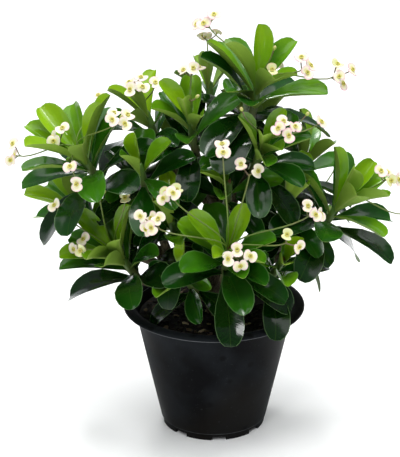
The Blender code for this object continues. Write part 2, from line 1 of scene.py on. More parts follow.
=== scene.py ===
# %% [markdown]
# # A crown-of-thorns euphorbia in a nursery pot
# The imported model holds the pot, the soil, the thorny stems, twenty-one leafy stems and thirty-six sprays
# of flowers, all as coarse solids in metres. This lesson dresses them. Every fine piece is grown on the
# solid that it stands for, so nothing has to be fitted by eye: leaves follow the solids' leaves, and
# flowers sit where the solids' flowers sit.

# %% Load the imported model
import json
import math
import random
from contextlib import contextmanager
from itertools import combinations

import bmesh
import bpy
import numpy as np
from mathutils import Matrix, Vector, noise
from mathutils.bvhtree import BVHTree

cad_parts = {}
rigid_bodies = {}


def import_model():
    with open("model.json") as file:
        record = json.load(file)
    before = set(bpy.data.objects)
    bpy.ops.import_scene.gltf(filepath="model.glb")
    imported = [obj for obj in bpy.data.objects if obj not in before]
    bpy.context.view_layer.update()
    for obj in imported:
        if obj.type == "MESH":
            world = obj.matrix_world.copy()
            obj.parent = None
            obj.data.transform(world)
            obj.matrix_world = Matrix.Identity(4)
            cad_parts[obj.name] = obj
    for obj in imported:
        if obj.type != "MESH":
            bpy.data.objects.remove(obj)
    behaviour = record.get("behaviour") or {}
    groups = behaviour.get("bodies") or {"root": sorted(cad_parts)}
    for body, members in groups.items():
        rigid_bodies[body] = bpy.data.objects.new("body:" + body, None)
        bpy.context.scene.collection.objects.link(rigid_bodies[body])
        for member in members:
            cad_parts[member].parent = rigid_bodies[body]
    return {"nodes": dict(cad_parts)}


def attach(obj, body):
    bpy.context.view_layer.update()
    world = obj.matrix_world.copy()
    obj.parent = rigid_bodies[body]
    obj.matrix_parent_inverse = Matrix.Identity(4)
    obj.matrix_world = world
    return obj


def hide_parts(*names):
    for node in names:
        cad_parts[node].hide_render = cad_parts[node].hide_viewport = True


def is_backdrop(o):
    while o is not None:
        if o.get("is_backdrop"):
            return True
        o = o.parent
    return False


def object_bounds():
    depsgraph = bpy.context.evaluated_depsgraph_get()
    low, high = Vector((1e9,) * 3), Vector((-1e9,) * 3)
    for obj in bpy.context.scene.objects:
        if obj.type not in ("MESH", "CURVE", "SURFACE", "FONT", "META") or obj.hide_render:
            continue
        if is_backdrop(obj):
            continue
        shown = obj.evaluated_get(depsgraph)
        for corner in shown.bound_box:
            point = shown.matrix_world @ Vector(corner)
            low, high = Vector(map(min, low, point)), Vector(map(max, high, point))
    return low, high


for old in list(bpy.data.objects):
    bpy.data.objects.remove(old)
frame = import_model()
cad_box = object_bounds()
MM = 0.001
UP = Vector((0, 0, 1))
print("solids:", len(frame["nodes"]), "box in mm:", [[round(v / MM, 1) for v in p] for p in cad_box])

# %% [markdown]
# ## Small helpers
# A colour is given as an sRGB hex value, while a shader works with linear light, so one function
# converts them. Another adds one shader node with its settings and links, and a third starts a material.
# The last hands a finished piece to the frame: it gives the piece its materials, its place on the only
# body, and the solids it replaces.


# %% Colours, nodes and finished pieces
def linear(hex_colour):
    """An sRGB hex colour as linear red, green, blue and alpha."""
    shares = [int(hex_colour[i:i + 2], 16) / 255 for i in (1, 3, 5)]
    return (*(s / 12.92 if s <= 0.04045 else ((s + 0.055) / 1.055) ** 2.4 for s in shares), 1)


def add(tree, kind, sockets=None, output=0, **settings):
    """Adds a shader node and gives back an output. Each socket gets a value, or a link from an output."""
    made = tree.nodes.new("ShaderNode" + kind)
    for name, value in settings.items():
        setattr(made, name, value)
    for name, value in (sockets or {}).items():
        if isinstance(value, bpy.types.NodeSocket):
            tree.links.new(value, made.inputs[name])
        else:
            made.inputs[name].default_value = value
    return made.outputs[output] if made.outputs else None


COLOUR_MIX = {"output": 2, "data_type": "RGBA"}


def new_finish(name, *numbers):
    """A new material, its tree, each point's place in its piece's own axes, and the numbers it reads."""
    material = bpy.data.materials.new(name)
    material.use_nodes = True
    tree = material.node_tree
    tree.nodes.clear()
    return (material, tree, add(tree, "TexCoord", output="Object"),
            *(add(tree, "Attribute", attribute_name=number, output="Fac") for number in numbers))


def hand_in(piece, materials, slot, *nodes):
    """The piece gets its materials, rides on the body and stands for these solids."""
    # Clearing a list that is empty would still forget which material each face has.
    if piece.data.materials:
        piece.data.materials.clear()
    for material in materials:
        piece.data.materials.append(material)
    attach(piece, "root")
    if nodes:
        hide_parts(*nodes)


# %% [markdown]
# Most pieces are a shape that is modelled once and copied. A finished shape is kept as its points, its
# faces and each face's material. Copies are gathered in a pile, moved or bent on the way, and the pile
# becomes one piece. The numbers that a material reads, such as a leaf's age, go along with the points.


# %% Shapes that are modelled once and copied
def linked(name, data):
    """A new object with this data, in the scene."""
    made = bpy.data.objects.new(name, data)
    bpy.context.scene.collection.objects.link(made)
    return made


def choose(piece):
    """Makes this piece the only one selected, and the active one."""
    for item in bpy.context.selected_objects:
        item.select_set(False)
    piece.select_set(True)
    bpy.context.view_layer.objects.active = piece


@contextmanager
def editing(piece):
    """Edit mode on one piece, with its whole mesh selected at the start."""
    choose(piece)
    bpy.ops.object.mode_set(mode="EDIT")
    bpy.ops.mesh.select_all(action="SELECT")
    yield
    bpy.ops.object.mode_set(mode="OBJECT")


class Shape:
    """A modelled piece's points and faces. The piece itself is removed."""

    def __init__(self, piece):
        self.points = np.array([vertex.co for vertex in piece.data.vertices])
        self.faces = [tuple(face.vertices) for face in piece.data.polygons]
        self.slots = [face.material_index for face in piece.data.polygons]
        bpy.data.objects.remove(piece)

    def moved(self, matrix):
        """The points after a matrix."""
        matrix = np.array(matrix)
        return self.points @ matrix[:3, :3].T + matrix[:3, 3]


class Pile:
    """Copies of shapes, gathered into one piece."""

    def __init__(self):
        self.points, self.faces, self.slots, self.numbers = [], [], [], {}

    def put(self, shape, points, slot=0, **numbers):
        """Adds a copy with these points. A number may be one for all its points, or one for each."""
        first = len(self.points)
        self.points += [tuple(point) for point in points]
        self.faces += [tuple(first + i for i in face) for face in shape.faces]
        self.slots += [slot + own for own in shape.slots]
        for key, value in numbers.items():
            kept = self.numbers.setdefault(key, [0.0] * first)
            kept += list(np.broadcast_to(value, len(points)))
        for kept in self.numbers.values():
            kept += [0.0] * (len(self.points) - len(kept))

    def piece(self, name, sharp=70):
        """The gathered copies as one piece, smooth but for edges sharper than this many degrees."""
        mesh = bpy.data.meshes.new(name)
        inside_box = np.clip(self.points, *cad_box).tolist()
        mesh.from_pydata(inside_box, [], self.faces)
        for key, values in self.numbers.items():
            mesh.attributes.new(key, "FLOAT", "POINT").data.foreach_set("value", values)
        mesh.polygons.foreach_set("material_index", self.slots)
        made = linked(name, mesh)
        choose(made)
        bpy.ops.object.shade_smooth_by_angle(angle=math.radians(sharp))
        return made


# %% [markdown]
# ## Reading the leaves from the solids
# Each solid leaf is a thin blade with a foot of four points on its shoot, three stations of four points,
# and a tip. A station's points are the two edges and the two faces over the midrib, which lie exactly the
# blade's thickness apart. So a tip is easy to find: it has just four neighbours, and two of them are a
# leaf's thickness apart. From there each station leads to the next. Reading the leaves keeps every
# fine leaf on its solid, and no table of leaves is needed here.

# %% Follow every leaf of a solid from its tip to its foot
SAME_POINT = 0.01 * MM
BLADE_THICKNESS, THICKNESS_SLACK = 1.3 * MM, 0.04 * MM
STATIONS = (0.36, 0.70, 0.93)
WIDEST, FOOT_SHARE = 0.68, 0.15
FOOT_POWER, TIP_POWER = 1.5, 2.3


def joined_mesh(node):
    """The points of a solid, and for each the points that its edges lead to."""
    mesh = bmesh.new()
    mesh.from_mesh(frame["nodes"][node].data)
    bmesh.ops.remove_doubles(mesh, verts=mesh.verts, dist=SAME_POINT)
    mesh.verts.index_update()
    points = [vertex.co.copy() for vertex in mesh.verts]
    beside = [{edge.other_vert(vertex).index for edge in vertex.link_edges} for vertex in mesh.verts]
    mesh.free()
    return points, beside


def across_the_blade(points, found):
    """The two of these points that lie a blade's thickness apart, if there are two."""
    for pair in combinations(sorted(found), 2):
        apart = (points[pair[0]] - points[pair[1]]).length
        if abs(apart - BLADE_THICKNESS) < THICKNESS_SLACK:
            return set(pair)
    return None


def follow(points, beside, tip):
    """The faces and edges at each station of one leaf, from its foot up, and the middle of its foot."""
    faces = across_the_blade(points, beside[tip])
    edges = beside[tip] - faces
    seen, stations = {tip} | beside[tip], [(faces, edges)]
    while len(stations) < len(STATIONS):
        first, second = edges
        faces = across_the_blade(points, (beside[first] & beside[second]) - seen)
        up, down = faces
        edges = set().union(*(beside[edge] & beside[up] & beside[down] for edge in edges)) - seen
        seen |= faces | edges
        stations.append((faces, edges))
    foot = set().union(*(beside[i] for i in faces | edges)) - seen
    return stations[::-1], sum((points[i] for i in foot), Vector()) / len(foot)


def breadth(along):
    """Half-width of the blade along its length, as a share of its widest. It takes an array."""
    along = np.clip(along, 0, 1)
    rise = np.sin(np.pi / 2 * np.minimum(along / WIDEST, 1)) ** FOOT_POWER
    lower = FOOT_SHARE + (1 - FOOT_SHARE) * rise
    upper = np.sqrt(1 - (np.maximum(along - WIDEST, 0) / (1 - WIDEST)) ** TIP_POWER)
    return np.where(along < WIDEST, lower, upper)


# %% [markdown]
# A shoot's line comes from its leaves' feet. The upper face of a leaf is the one that looks up its shoot
# and in to it. With that settled, smooth curves through the foot, the stations and the tip give the
# midrib, the two half-blades and the way that the upper face looks, anywhere along the leaf. The rims
# curl up a few millimetres more than the flat-sided solid shows, most on young leaves, which are still
# folded.


# %% One blade's curves
FACE_LEAN = math.radians(65)
MIDRIB_WEIGHTS = (4, 2, 2, 2, 1)
EVEN_BELOW = 0.15
RIM_CURL, YOUNG_CURL = 2.4 * MM, 2.6 * MM
FOLD_POWER, CURL_POWER = 1.5, 2.5


class Blade:
    """Smooth curves through one solid leaf."""

    def __init__(self, points, stations, foot, tip, axis, age):
        self.age, self.foot = age, foot
        middles, sides, normals = [foot], [[], []], []
        for number, (faces, edges) in enumerate(stations):
            up, down = (points[i] for i in faces)
            middle = (up + down) / 2
            outward = middle - foot
            outward = (outward - axis * outward.dot(axis)).normalized()
            upward = axis * math.sin(FACE_LEAN) - outward * math.cos(FACE_LEAN)
            normal = (up - down).normalized()
            normal = normal if normal.dot(upward) > 0 else -normal
            way = (middle - middles[-1]).normalized()
            right_way = way.cross(normal)
            ordered = sorted((points[i] - middle for i in edges), key=lambda e: e.dot(right_way))
            middles.append(middle)
            normals.append(normal)
            for side, edge in enumerate(ordered):
                sides[side].append(edge / float(breadth(STATIONS[number])))
        middles.append(tip)
        self.length = sum((b - a).length for a, b in zip(middles, middles[1:]))
        self.middle = np.polyfit((0, *STATIONS, 1), np.array(middles), 3, w=MIDRIB_WEIGHTS)
        self.normal = np.polyfit(STATIONS, np.array(normals), 2)
        self.sides = [np.polyfit(STATIONS, np.array(side), 2) for side in sides]

    def place(self, along, share, off):
        """Points on the blade: along its length, share of the half-width, and off its upper face."""
        inside = np.clip(along, EVEN_BELOW, 1)
        middle = np.vander(along, 4) @ self.middle
        normal = np.vander(inside, 3) @ self.normal
        normal /= np.linalg.norm(normal, axis=1)[:, None]
        left, right = (np.vander(inside, 3) @ side for side in self.sides)
        half = np.where(share[:, None] < 0, left, right)
        lift = (half * normal).sum(1)
        flat = half - normal * lift[:, None]
        wide = breadth(along)
        reach = np.abs(share) * wide
        curl = (RIM_CURL + YOUNG_CURL * (1 - self.age)) * wide * np.abs(share) ** CURL_POWER
        raised = lift * wide * np.abs(share) ** FOLD_POWER + curl + off
        return middle + flat * reach[:, None] + normal * raised[:, None]


def blades_of(node):
    """Every leaf of one leafy stem, oldest first."""
    points, beside = joined_mesh(node)
    found = []
    for tip, near in enumerate(beside):
        if len(near) == 4 and across_the_blade(points, near):
            found.append((*follow(points, beside, tip), points[tip]))
    feet = np.array([foot for _, foot, _ in found])
    axis = Vector(np.linalg.svd(feet - feet.mean(0))[2][0])
    axis = axis if axis.z > 0 else -axis
    heights = [foot.dot(axis) for _, foot, _ in found]
    low, high = min(heights), max(heights)
    found = sorted(zip(heights, found), key=lambda row: row[0])
    return [Blade(points, stations, foot, tip, axis, 1 - (height - low) / (high - low))
            for height, (stations, foot, tip) in found]


leafy_nodes = sorted(name for name in frame["nodes"] if name.startswith("leafy_stem"))
leafy_stems = {name: blades_of(name) for name in leafy_nodes}
print("leaves read:", sum(len(blades) for blades in leafy_stems.values()), "on", len(leafy_stems))

# %% [markdown]
# ## One leaf, modelled flat
# A euphorbia leaf is spoon-shaped, about a millimetre thick over its midrib and thin at its edge. One
# leaf is modelled flat from a grid, whose rows are drawn close at the tip, where the outline turns
# fastest. A second grid, turned over, makes the underside, and the two are joined at the edge. With a
# few dozen faces it can be copied for all the leaves.

# %% The flat leaf
FLAT_LENGTH, FLAT_HALF = 80 * MM, 17 * MM
RIB_THICKNESS, RIB_GROOVE = 1.2 * MM, 0.5 * MM
COLUMNS, ROWS = 4, 8
TIP_CROWDING, FULL_THICKNESS = 2.1, 2.5

bpy.ops.mesh.primitive_grid_add(x_subdivisions=COLUMNS, y_subdivisions=ROWS, size=2)
flat_leaf = bpy.context.object
with editing(flat_leaf):
    bpy.ops.mesh.duplicate()
    bpy.ops.mesh.flip_normals()
    bpy.ops.transform.translate(value=(0, 0, -1))
for face in flat_leaf.data.polygons:
    face.material_index = 1 if face.center.z < -0.5 else 0
for vertex in flat_leaf.data.vertices:
    column, below = vertex.co.x, vertex.co.z < -0.5
    along = 1 - (1 - (vertex.co.y + 1) / 2) ** TIP_CROWDING
    wide = float(breadth(np.array(along)))
    arch = math.sqrt(max(0, 1 - column * column)) * min(1, FULL_THICKNESS * wide)
    deep = -RIB_THICKNESS / 2 if below else RIB_THICKNESS / 2 - RIB_GROOVE * (column == 0)
    vertex.co = (column * wide * FLAT_HALF, along * FLAT_LENGTH, deep * arch)
with editing(flat_leaf):
    bpy.ops.mesh.remove_doubles(threshold=2 * SAME_POINT)
    bpy.ops.mesh.fill_holes(sides=0)
leaf_shape = Shape(flat_leaf)
print("flat leaf:", len(leaf_shape.faces), "faces")

# %% [markdown]
# ## Leaves laid on their solids
# The flat leaf's points become shares of a leaf: how far along, how far across, and how far off the
# middle surface. A copy is laid on each blade by putting those shares into the blade's curves. Its edge
# gets a small wave of its own. All the copies on one shoot make one piece, and attributes carry what the
# material needs: the leaf's age and tint, the distance along it, and the distances from the midrib and
# from the edge, all in millimetres.

# %% Lay a copy of the leaf on every blade
ALONG = leaf_shape.points[:, 1] / FLAT_LENGTH
HALVES = breadth(ALONG) * FLAT_HALF
NARROW, ROOT_DEPTH = 0.1 * MM, 0.012
ACROSS = np.divide(leaf_shape.points[:, 0], HALVES, out=np.zeros(len(HALVES)), where=HALVES > NARROW)
WAVE_HEIGHTS, WAVE_TURNS, WAVE_STARTS, SIDE_SHIFT = (0.3 * MM, 0.9 * MM), (9, 15), (0, 6), 2


def lay_leaves(name, blades, seed):
    """All the leaves of one shoot as one piece."""
    random.seed(seed)
    pile = Pile()
    for blade in blades:
        size = blade.length / FLAT_LENGTH / MM
        wave = random.uniform(*WAVE_HEIGHTS) * ACROSS ** 2 * breadth(ALONG)
        turns, start = random.uniform(*WAVE_TURNS), random.uniform(*WAVE_STARTS)
        wave *= np.sin(ALONG * turns + start + SIDE_SHIFT * (ACROSS > 0))
        pile.put(leaf_shape, blade.place(ALONG - ROOT_DEPTH, ACROSS, leaf_shape.points[:, 2] + wave),
                 age=blade.age, tint=random.random(), along=ALONG * blade.length / MM,
                 rib=np.abs(ACROSS) * HALVES * size, edge=(1 - np.abs(ACROSS)) * HALVES * size)
    return pile.piece(name)


leaf_pieces = {node: lay_leaves(node.replace("leafy_stem", "leaves"), blades, seed)
               for seed, (node, blades) in enumerate(leafy_stems.items())}
print("pieces of leaves:", len(leaf_pieces))

# %% [markdown]
# ## The leaf's finish
# A living, waxy leaf: a thin clear cuticle over green tissue. Young leaves are a bright yellow-green and
# old ones almost black-green, so the colour runs with the leaf's age, and it turns a little lighter towards
# the tip. The upper face is glossy and takes sharp lights, which tells the eye it is waxy. The midrib and
# the side veins, which lean towards the tip, hardly show in so thick a leaf, and the edge has a thin pale
# line.

# %% Waxy upper face
VEIN_SPACING, VEIN_SLANT = 5.2, 0.55

waxy_leaf, tree, object_place, age, tint, along_mm, rib_mm, edge_mm = new_finish(
    "waxy_leaf", "age", "tint", "along", "rib", "edge")
blotches = add(tree, "TexNoise", {"Vector": object_place, "Scale": 0.5 / (14 * MM), "Detail": 3})
drift = add(tree, "Math", {0: blotches, 1: 0.36, 2: -0.18}, operation="MULTIPLY_ADD")
own = add(tree, "Math", {0: tint, 1: 0.24, 2: drift}, operation="MULTIPLY_ADD")
ripe = add(tree, "Math", {0: age, 1: own}, operation="ADD")
# The colour turns a little lighter over the outer part of each leaf, towards its tip.
tip_lightening = add(tree, "MapRange", {"Value": along_mm, "From Min": 40, "From Max": 76, "To Min": 0.02,
                                   "To Max": 0.13})
ripe = add(tree, "Math", {0: ripe, 1: tip_lightening}, operation="SUBTRACT")
green = add(tree, "ValToRGB", {"Fac": ripe})
ramp = green.node.color_ramp
ramp.elements[0].color, ramp.elements[1].color = linear("#86ad15"), linear("#062504")
for stop, colour in ((0.2, "#6a9a12"), (0.42, "#38700e"), (0.66, "#134509")):
    ramp.elements.new(stop).color = linear(colour)
rib = add(tree, "MapRange", {"Value": rib_mm, "From Min": 0.8, "From Max": 0.1, "To Max": 0.04})
ribbed = add(tree, "Mix", {0: rib, 6: green, 7: linear("#86a83c")}, **COLOUR_MIX)
slant = add(tree, "Math", {0: rib_mm, 1: -VEIN_SLANT, 2: along_mm}, operation="MULTIPLY_ADD")
vein_turn = add(tree, "Math", {0: slant, 1: 2 * math.pi / VEIN_SPACING}, operation="MULTIPLY")
vein_wave = add(tree, "Math", {0: vein_turn}, operation="SINE")
veins = add(tree, "MapRange", {"Value": vein_wave, "From Min": 0.7, "From Max": 1.0})
faint = add(tree, "Math", {0: veins, 1: 0.005}, operation="MULTIPLY")
veined = add(tree, "Mix", {0: faint, 6: ribbed, 7: linear("#8fb04a")}, **COLOUR_MIX)
margin = add(tree, "MapRange", {"Value": edge_mm, "From Min": 1.0, "From Max": 0.3, "To Max": 0.3})
edged = add(tree, "Mix", {0: margin, 6: veined, 7: linear("#8fb377")}, **COLOUR_MIX)
smears = add(tree, "TexNoise", {"Vector": object_place, "Scale": 0.5 / (8 * MM), "Detail": 2})
gloss = add(tree, "MapRange", {"Value": smears, "From Min": 0.3, "From Max": 0.7,
                               "To Min": 0.08, "To Max": 0.22})
waves = add(tree, "TexNoise", {"Vector": object_place, "Scale": 0.5 / (15 * MM), "Detail": 0.5})
swell = add(tree, "Math", {0: veins, 1: 0.004, 2: waves}, operation="MULTIPLY_ADD")
relief = add(tree, "Bump", {"Height": swell, "Strength": 0.9, "Distance": 3.5 * MM})
skin = add(tree, "BsdfPrincipled", {"Base Color": edged, "Roughness": gloss, "Normal": relief,
                                    "IOR": 1.45, "Specular IOR Level": 0.36})
add(tree, "OutputMaterial", {"Surface": skin})

# %% [markdown]
# The underside has no cuticle to speak of: it is paler, greyer and quite matt, and the midrib stands out
# of it as a light ridge.

# %% Matt underside
leaf_underside, tree, object_place, age, rib_mm = new_finish("matt_leaf_underside", "age", "rib")
blotches = add(tree, "TexNoise", {"Vector": object_place, "Scale": 0.5 / (10 * MM), "Detail": 4})
back = add(tree, "Mix", {0: age, 6: linear("#86a734"), 7: linear("#5a792d")}, **COLOUR_MIX)
mottle = add(tree, "Math", {0: blotches, 1: 0.4}, operation="MULTIPLY")
back = add(tree, "Mix", {0: mottle, 6: back, 7: linear("#466227")}, **COLOUR_MIX)
rib = add(tree, "MapRange", {"Value": rib_mm, "From Min": 1.4, "From Max": 0.5, "To Max": 0.6})
back = add(tree, "Mix", {0: rib, 6: back, 7: linear("#93a552")}, **COLOUR_MIX)
relief = add(tree, "Bump", {"Height": blotches, "Strength": 0.3, "Distance": 0.4 * MM})
skin = add(tree, "BsdfPrincipled", {"Base Color": back, "Roughness": 0.55, "Normal": relief, "IOR": 1.42})
add(tree, "OutputMaterial", {"Surface": skin})
for node, piece in leaf_pieces.items():
    hand_in(piece, [waxy_leaf, leaf_underside], "leaf_green", node)

# %% [markdown]
# ## Where the shoots and the sprays stand
# The solids' shoots end at these tips and point these ways, in millimetres. The sprays' stalks fork at
# these points, and then come their counts of flowers and buds. These are the values that the solids were
# built from, so the fine pieces land on them.

# %% Shoots and sprays
SHOOT_LENGTH = 56 * MM
GAP = 0.35 * MM
SHOOTS = {
    "front": ((15, -80, 246), (0.08, -0.50, 0.86)),
    "lower_left": ((-110, -44, 230), (-0.46, -0.36, 0.81)),
    "left": ((-152, -14, 338), (-0.48, -0.20, 0.85)),
    "upper_left": ((-78, 30, 370), (-0.34, -0.08, 0.94)),
    "upper_middle": ((-27, -16, 376), (-0.12, -0.34, 0.93)),
    "top": ((48, 6, 410), (0.16, -0.14, 0.98)),
    "middle": ((52, -44, 354), (0.20, -0.52, 0.83)),
    "right": ((144, -8, 276), (0.50, -0.22, 0.84)),
    "upper_right": ((108, 36, 318), (0.36, 0.04, 0.93)),
    "left_middle": ((-84, -42, 332), (-0.18, -0.50, 0.85)),
    "lower_right": ((76, -50, 222), (0.34, -0.50, 0.80)),
    "inner_left": ((-48, -34, 262), (-0.16, -0.48, 0.86)),
    "inner_right": ((84, -18, 284), (0.28, -0.40, 0.87)),
    "back_top": ((50, 78, 352), (0.22, 0.40, 0.88)),
    "back_left": ((-62, 80, 326), (-0.30, 0.42, 0.84)),
    "back_low": ((4, 92, 236), (0.02, 0.60, 0.75)),
    "back_right": ((108, 70, 238), (0.56, 0.40, 0.72)),
    "far_left": ((-160, 20, 260), (-0.66, -0.10, 0.74)),
    "back_middle": ((-6, 54, 398), (-0.06, 0.26, 0.95)),
    "inner_middle": ((16, -34, 308), (0.06, -0.46, 0.86)),
    "low_front": ((-38, -62, 212), (-0.38, -0.52, 0.74)),
}
SPRAYS_OF = {
    "front": [((24, -120, 251), 4, 0), ((-64, -100, 280), 5, 0), ((103, -80, 286), 3, 0),
              ((77, -106, 264), 2, 0), ((8, -88, 357), 2, 0), ((37, -78, 332), 2, 0),
              ((-46, -86, 308), 4, 0)],
    "lower_left": [((-145, -64, 241), 3, 0), ((-126, -60, 300), 0, 2), ((-98, -66, 294), 1, 0),
                   ((-172, -44, 278), 1, 0)],
    "left": [((-105, -44, 380), 4, 1), ((-172, -24, 353), 3, 0), ((-152, -74, 331), 2, 0),
             ((-219, -10, 330), 3, 0), ((-132, 22, 383), 1, 0)],
    "upper_left": [((-86, 4, 404), 4, 0), ((-67, 12, 402), 1, 0)],
    "upper_middle": [((-26, 2, 421), 3, 0), ((-25, -36, 402), 0, 2)],
    "top": [((-8, 0, 476), 4, 0), ((63, 8, 441), 0, 1), ((59, -40, 433), 1, 0), ((96, -16, 431), 3, 0),
            ((133, 10, 415), 5, 0)],
    "middle": [((73, -78, 380), 4, 0), ((94, -54, 386), 0, 1), ((110, -30, 371), 1, 0),
               ((30, -70, 396), 0, 1)],
    "right": [((190, -26, 308), 4, 0), ((215, -2, 258), 3, 0)],
    "back_top": [((66, 112, 398), 2, 1)],
    "back_left": [((-88, 112, 372), 3, 0)],
    "back_low": [((8, 118, 282), 3, 0)],
    "back_right": [((146, 98, 282), 2, 0)],
    "back_middle": [((-8, 72, 442), 3, 0)],
}
SPRAYS = [(shoot, *spray) for shoot, sprays in SPRAYS_OF.items() for spray in sprays]
print("shoots:", len(SHOOTS), "sprays:", len(SPRAYS), "flowers:", sum(row[2] for row in SPRAYS))

# %% [markdown]
# ## Shoots and their growing points
# Under its whorls of leaves each shoot is a short green stem, ringed where its leaves are seated. Its tip
# carries a few reddish scale leaves round the growing point. The stem is spun from a profile. A scale is
# a cone, flattened and bent inwards. Copies stand on each shoot's line. A number runs up the stem from 0
# to 1 and on over the scales, for the colours.


# %% Turn a profile into a round piece
def put_in_order(mesh):
    """Sorts points and faces by place. Spin and UV Sphere leave them in another order each run."""
    places = [tuple(vertex.co) for vertex in mesh.vertices]
    order = sorted(range(len(places)), key=lambda i: [round(v / SAME_POINT) for v in places[i]])
    number = {old: new for new, old in enumerate(order)}
    faces = sorted([number[i] for i in face.vertices] for face in mesh.polygons)
    mesh.clear_geometry()
    mesh.from_pydata([places[i] for i in order], [], faces)


def spun(name, profile, steps, closed=False):
    """A round piece from a profile of radii and heights in millimetres, about the Z axis."""
    mesh = bpy.data.meshes.new(name)
    points = [(radius * MM, 0, height * MM) for radius, height in profile]
    edges = [(i, i + 1) for i in range(len(points) - 1)] + [(len(points) - 1, 0)] * closed
    mesh.from_pydata(points, edges, [])
    piece = linked(name, mesh)
    with editing(piece):
        bpy.ops.mesh.spin(steps=steps, angle=2 * math.pi, center=(0, 0, 0), axis=(0, 0, 1))
        bpy.ops.mesh.select_all(action="SELECT")
        bpy.ops.mesh.remove_doubles(threshold=SAME_POINT)
        bpy.ops.mesh.normals_make_consistent(inside=False)
    put_in_order(mesh)
    return piece


def standing(foot, way):
    """The matrix that stands a shape, made along Z from its foot, in a place and along a direction."""
    return Matrix.Translation(foot) @ way.to_track_quat("Z", "Y").to_matrix().to_4x4()


# %% Fine shoots
SCALE_LEAVES, SCALE_TURN = 6, 2.4
SCALE_FLATNESS, SCALE_BEND = 0.45, 26
SCALE_SEAT, SCALE_STEP, SCALE_SIZE, SCALE_GROWTH = 1 * MM, 0.35 * MM, 0.7, 0.06
SCALE_START, SCALE_RISE = 1.1, 60
STEM_RADIUS, STEM_GROOVE, STEM_TAPER, RING_STEP = 5.3, 0.5, 0.07, 6.0

rings = [(0, 0), (STEM_RADIUS, 0)]
for ring in range(1, 10):
    wide, high = STEM_RADIUS - STEM_TAPER * ring, RING_STEP * ring
    rings += [(wide, high - 2.2), (wide - STEM_GROOVE, high - 0.6)]
rings += [(4.3, 54.4), (3.2, 55.6), (1.2, 56), (0, 56)]
stem_shape = Shape(spun("stem", rings, 12))

bpy.ops.mesh.primitive_cone_add(vertices=6, radius1=1.5 * MM, depth=7 * MM, location=(0, 0, 3 * MM))
scale_leaf = bpy.context.object
bpy.ops.object.transform_apply(location=True, rotation=False, scale=False)
for vertex in scale_leaf.data.vertices:
    vertex.co.y = vertex.co.y * SCALE_FLATNESS - SCALE_BEND * vertex.co.z ** 2
scale_shape = Shape(scale_leaf)

shoot_pieces = {}
for name, (tip, way) in SHOOTS.items():
    tip, way = Vector(tip) * MM, Vector(way).normalized()
    pile = Pile()
    pile.put(stem_shape, stem_shape.moved(standing(tip - way * SHOOT_LENGTH, way)),
             height=stem_shape.points[:, 2] / SHOOT_LENGTH)
    for number in range(SCALE_LEAVES):
        turn = Matrix.Rotation(SCALE_TURN * number, 4, "Z")
        turn = turn @ Matrix.Translation((0, SCALE_SEAT + SCALE_STEP * number, 0))
        grow = Matrix.Scale(SCALE_SIZE + SCALE_GROWTH * number, 4)
        pile.put(scale_shape, scale_shape.moved(standing(tip - way * MM, way) @ turn @ grow),
                 height=SCALE_START + SCALE_RISE * scale_shape.points[:, 2])
    shoot_pieces[name] = pile.piece("shoot_" + name)
print("shoots:", len(shoot_pieces), "faces in one stem:", len(stem_shape.faces))

# %% [markdown]
# A young stem is green, brown at its woody foot and reddish at its growing point. Its skin is smooth but
# dull, with small blotches.

# %% Young green stem
green_stem, tree, object_place, height = new_finish("young_green_stem", "height")
spots = add(tree, "TexNoise", {"Vector": object_place, "Scale": 0.5 / (3 * MM), "Detail": 3})
woody = add(tree, "MapRange", {"Value": height, "From Min": 0.05, "From Max": 0.75})
bark_to_green = add(tree, "Mix", {0: woody, 6: linear("#5d5236"), 7: linear("#4c7226")}, **COLOUR_MIX)
reddening = add(tree, "MapRange", {"Value": height, "From Min": 1.02, "From Max": 1.25})
reddish = add(tree, "Mix", {0: reddening, 6: bark_to_green, 7: linear("#7d4426")}, **COLOUR_MIX)
spotting = add(tree, "Math", {0: spots, 1: 0.35}, operation="MULTIPLY")
spotted = add(tree, "Mix", {0: spotting, 6: reddish, 7: linear("#3a4a22")}, **COLOUR_MIX)
relief = add(tree, "Bump", {"Height": spots, "Strength": 0.4, "Distance": 0.4 * MM})
skin = add(tree, "BsdfPrincipled", {"Base Color": spotted, "Roughness": 0.5, "Normal": relief})
add(tree, "OutputMaterial", {"Surface": skin})
for name, piece in shoot_pieces.items():
    hand_in(piece, [green_stem], "leaf_green", "leafy_stem_" + name)

# %% [markdown]
# ## The lines of the sprays
# A spray's stalk rises from the edge of a shoot's tip, bends out to where it forks, and carries a ring of
# short pedicels there, each with a flower or a bud. Each line and each head is worked out from the table,
# step for step as for the solids, so the fine flowers stand in the solids' flowers.


# %% Stalk lines
STALK_STEPS, FINE_STEPS = 4, 10
STALK_SEAT, STALK_RISE, STALK_PULL = 3.0 * MM, 0.35, 0.34


def square_to(way):
    """Two unit vectors square to a direction and to each other."""
    first = way.cross(UP if abs(way.z) < 0.9 else Vector((0, 1, 0))).normalized()
    return first, way.cross(first).normalized()


def curve_between(start, start_way, end, end_way, pull, steps):
    """Points on a smooth curve that leaves and arrives along the given directions."""
    reach = (end - start).length * pull
    a, b = start + start_way * reach, end - end_way * reach
    line = []
    for step in range(steps + 1):
        t = step / steps
        s = 1 - t
        line.append(start * s**3 + a * 3 * s * s * t + b * 3 * s * t * t + end * t**3)
    return line


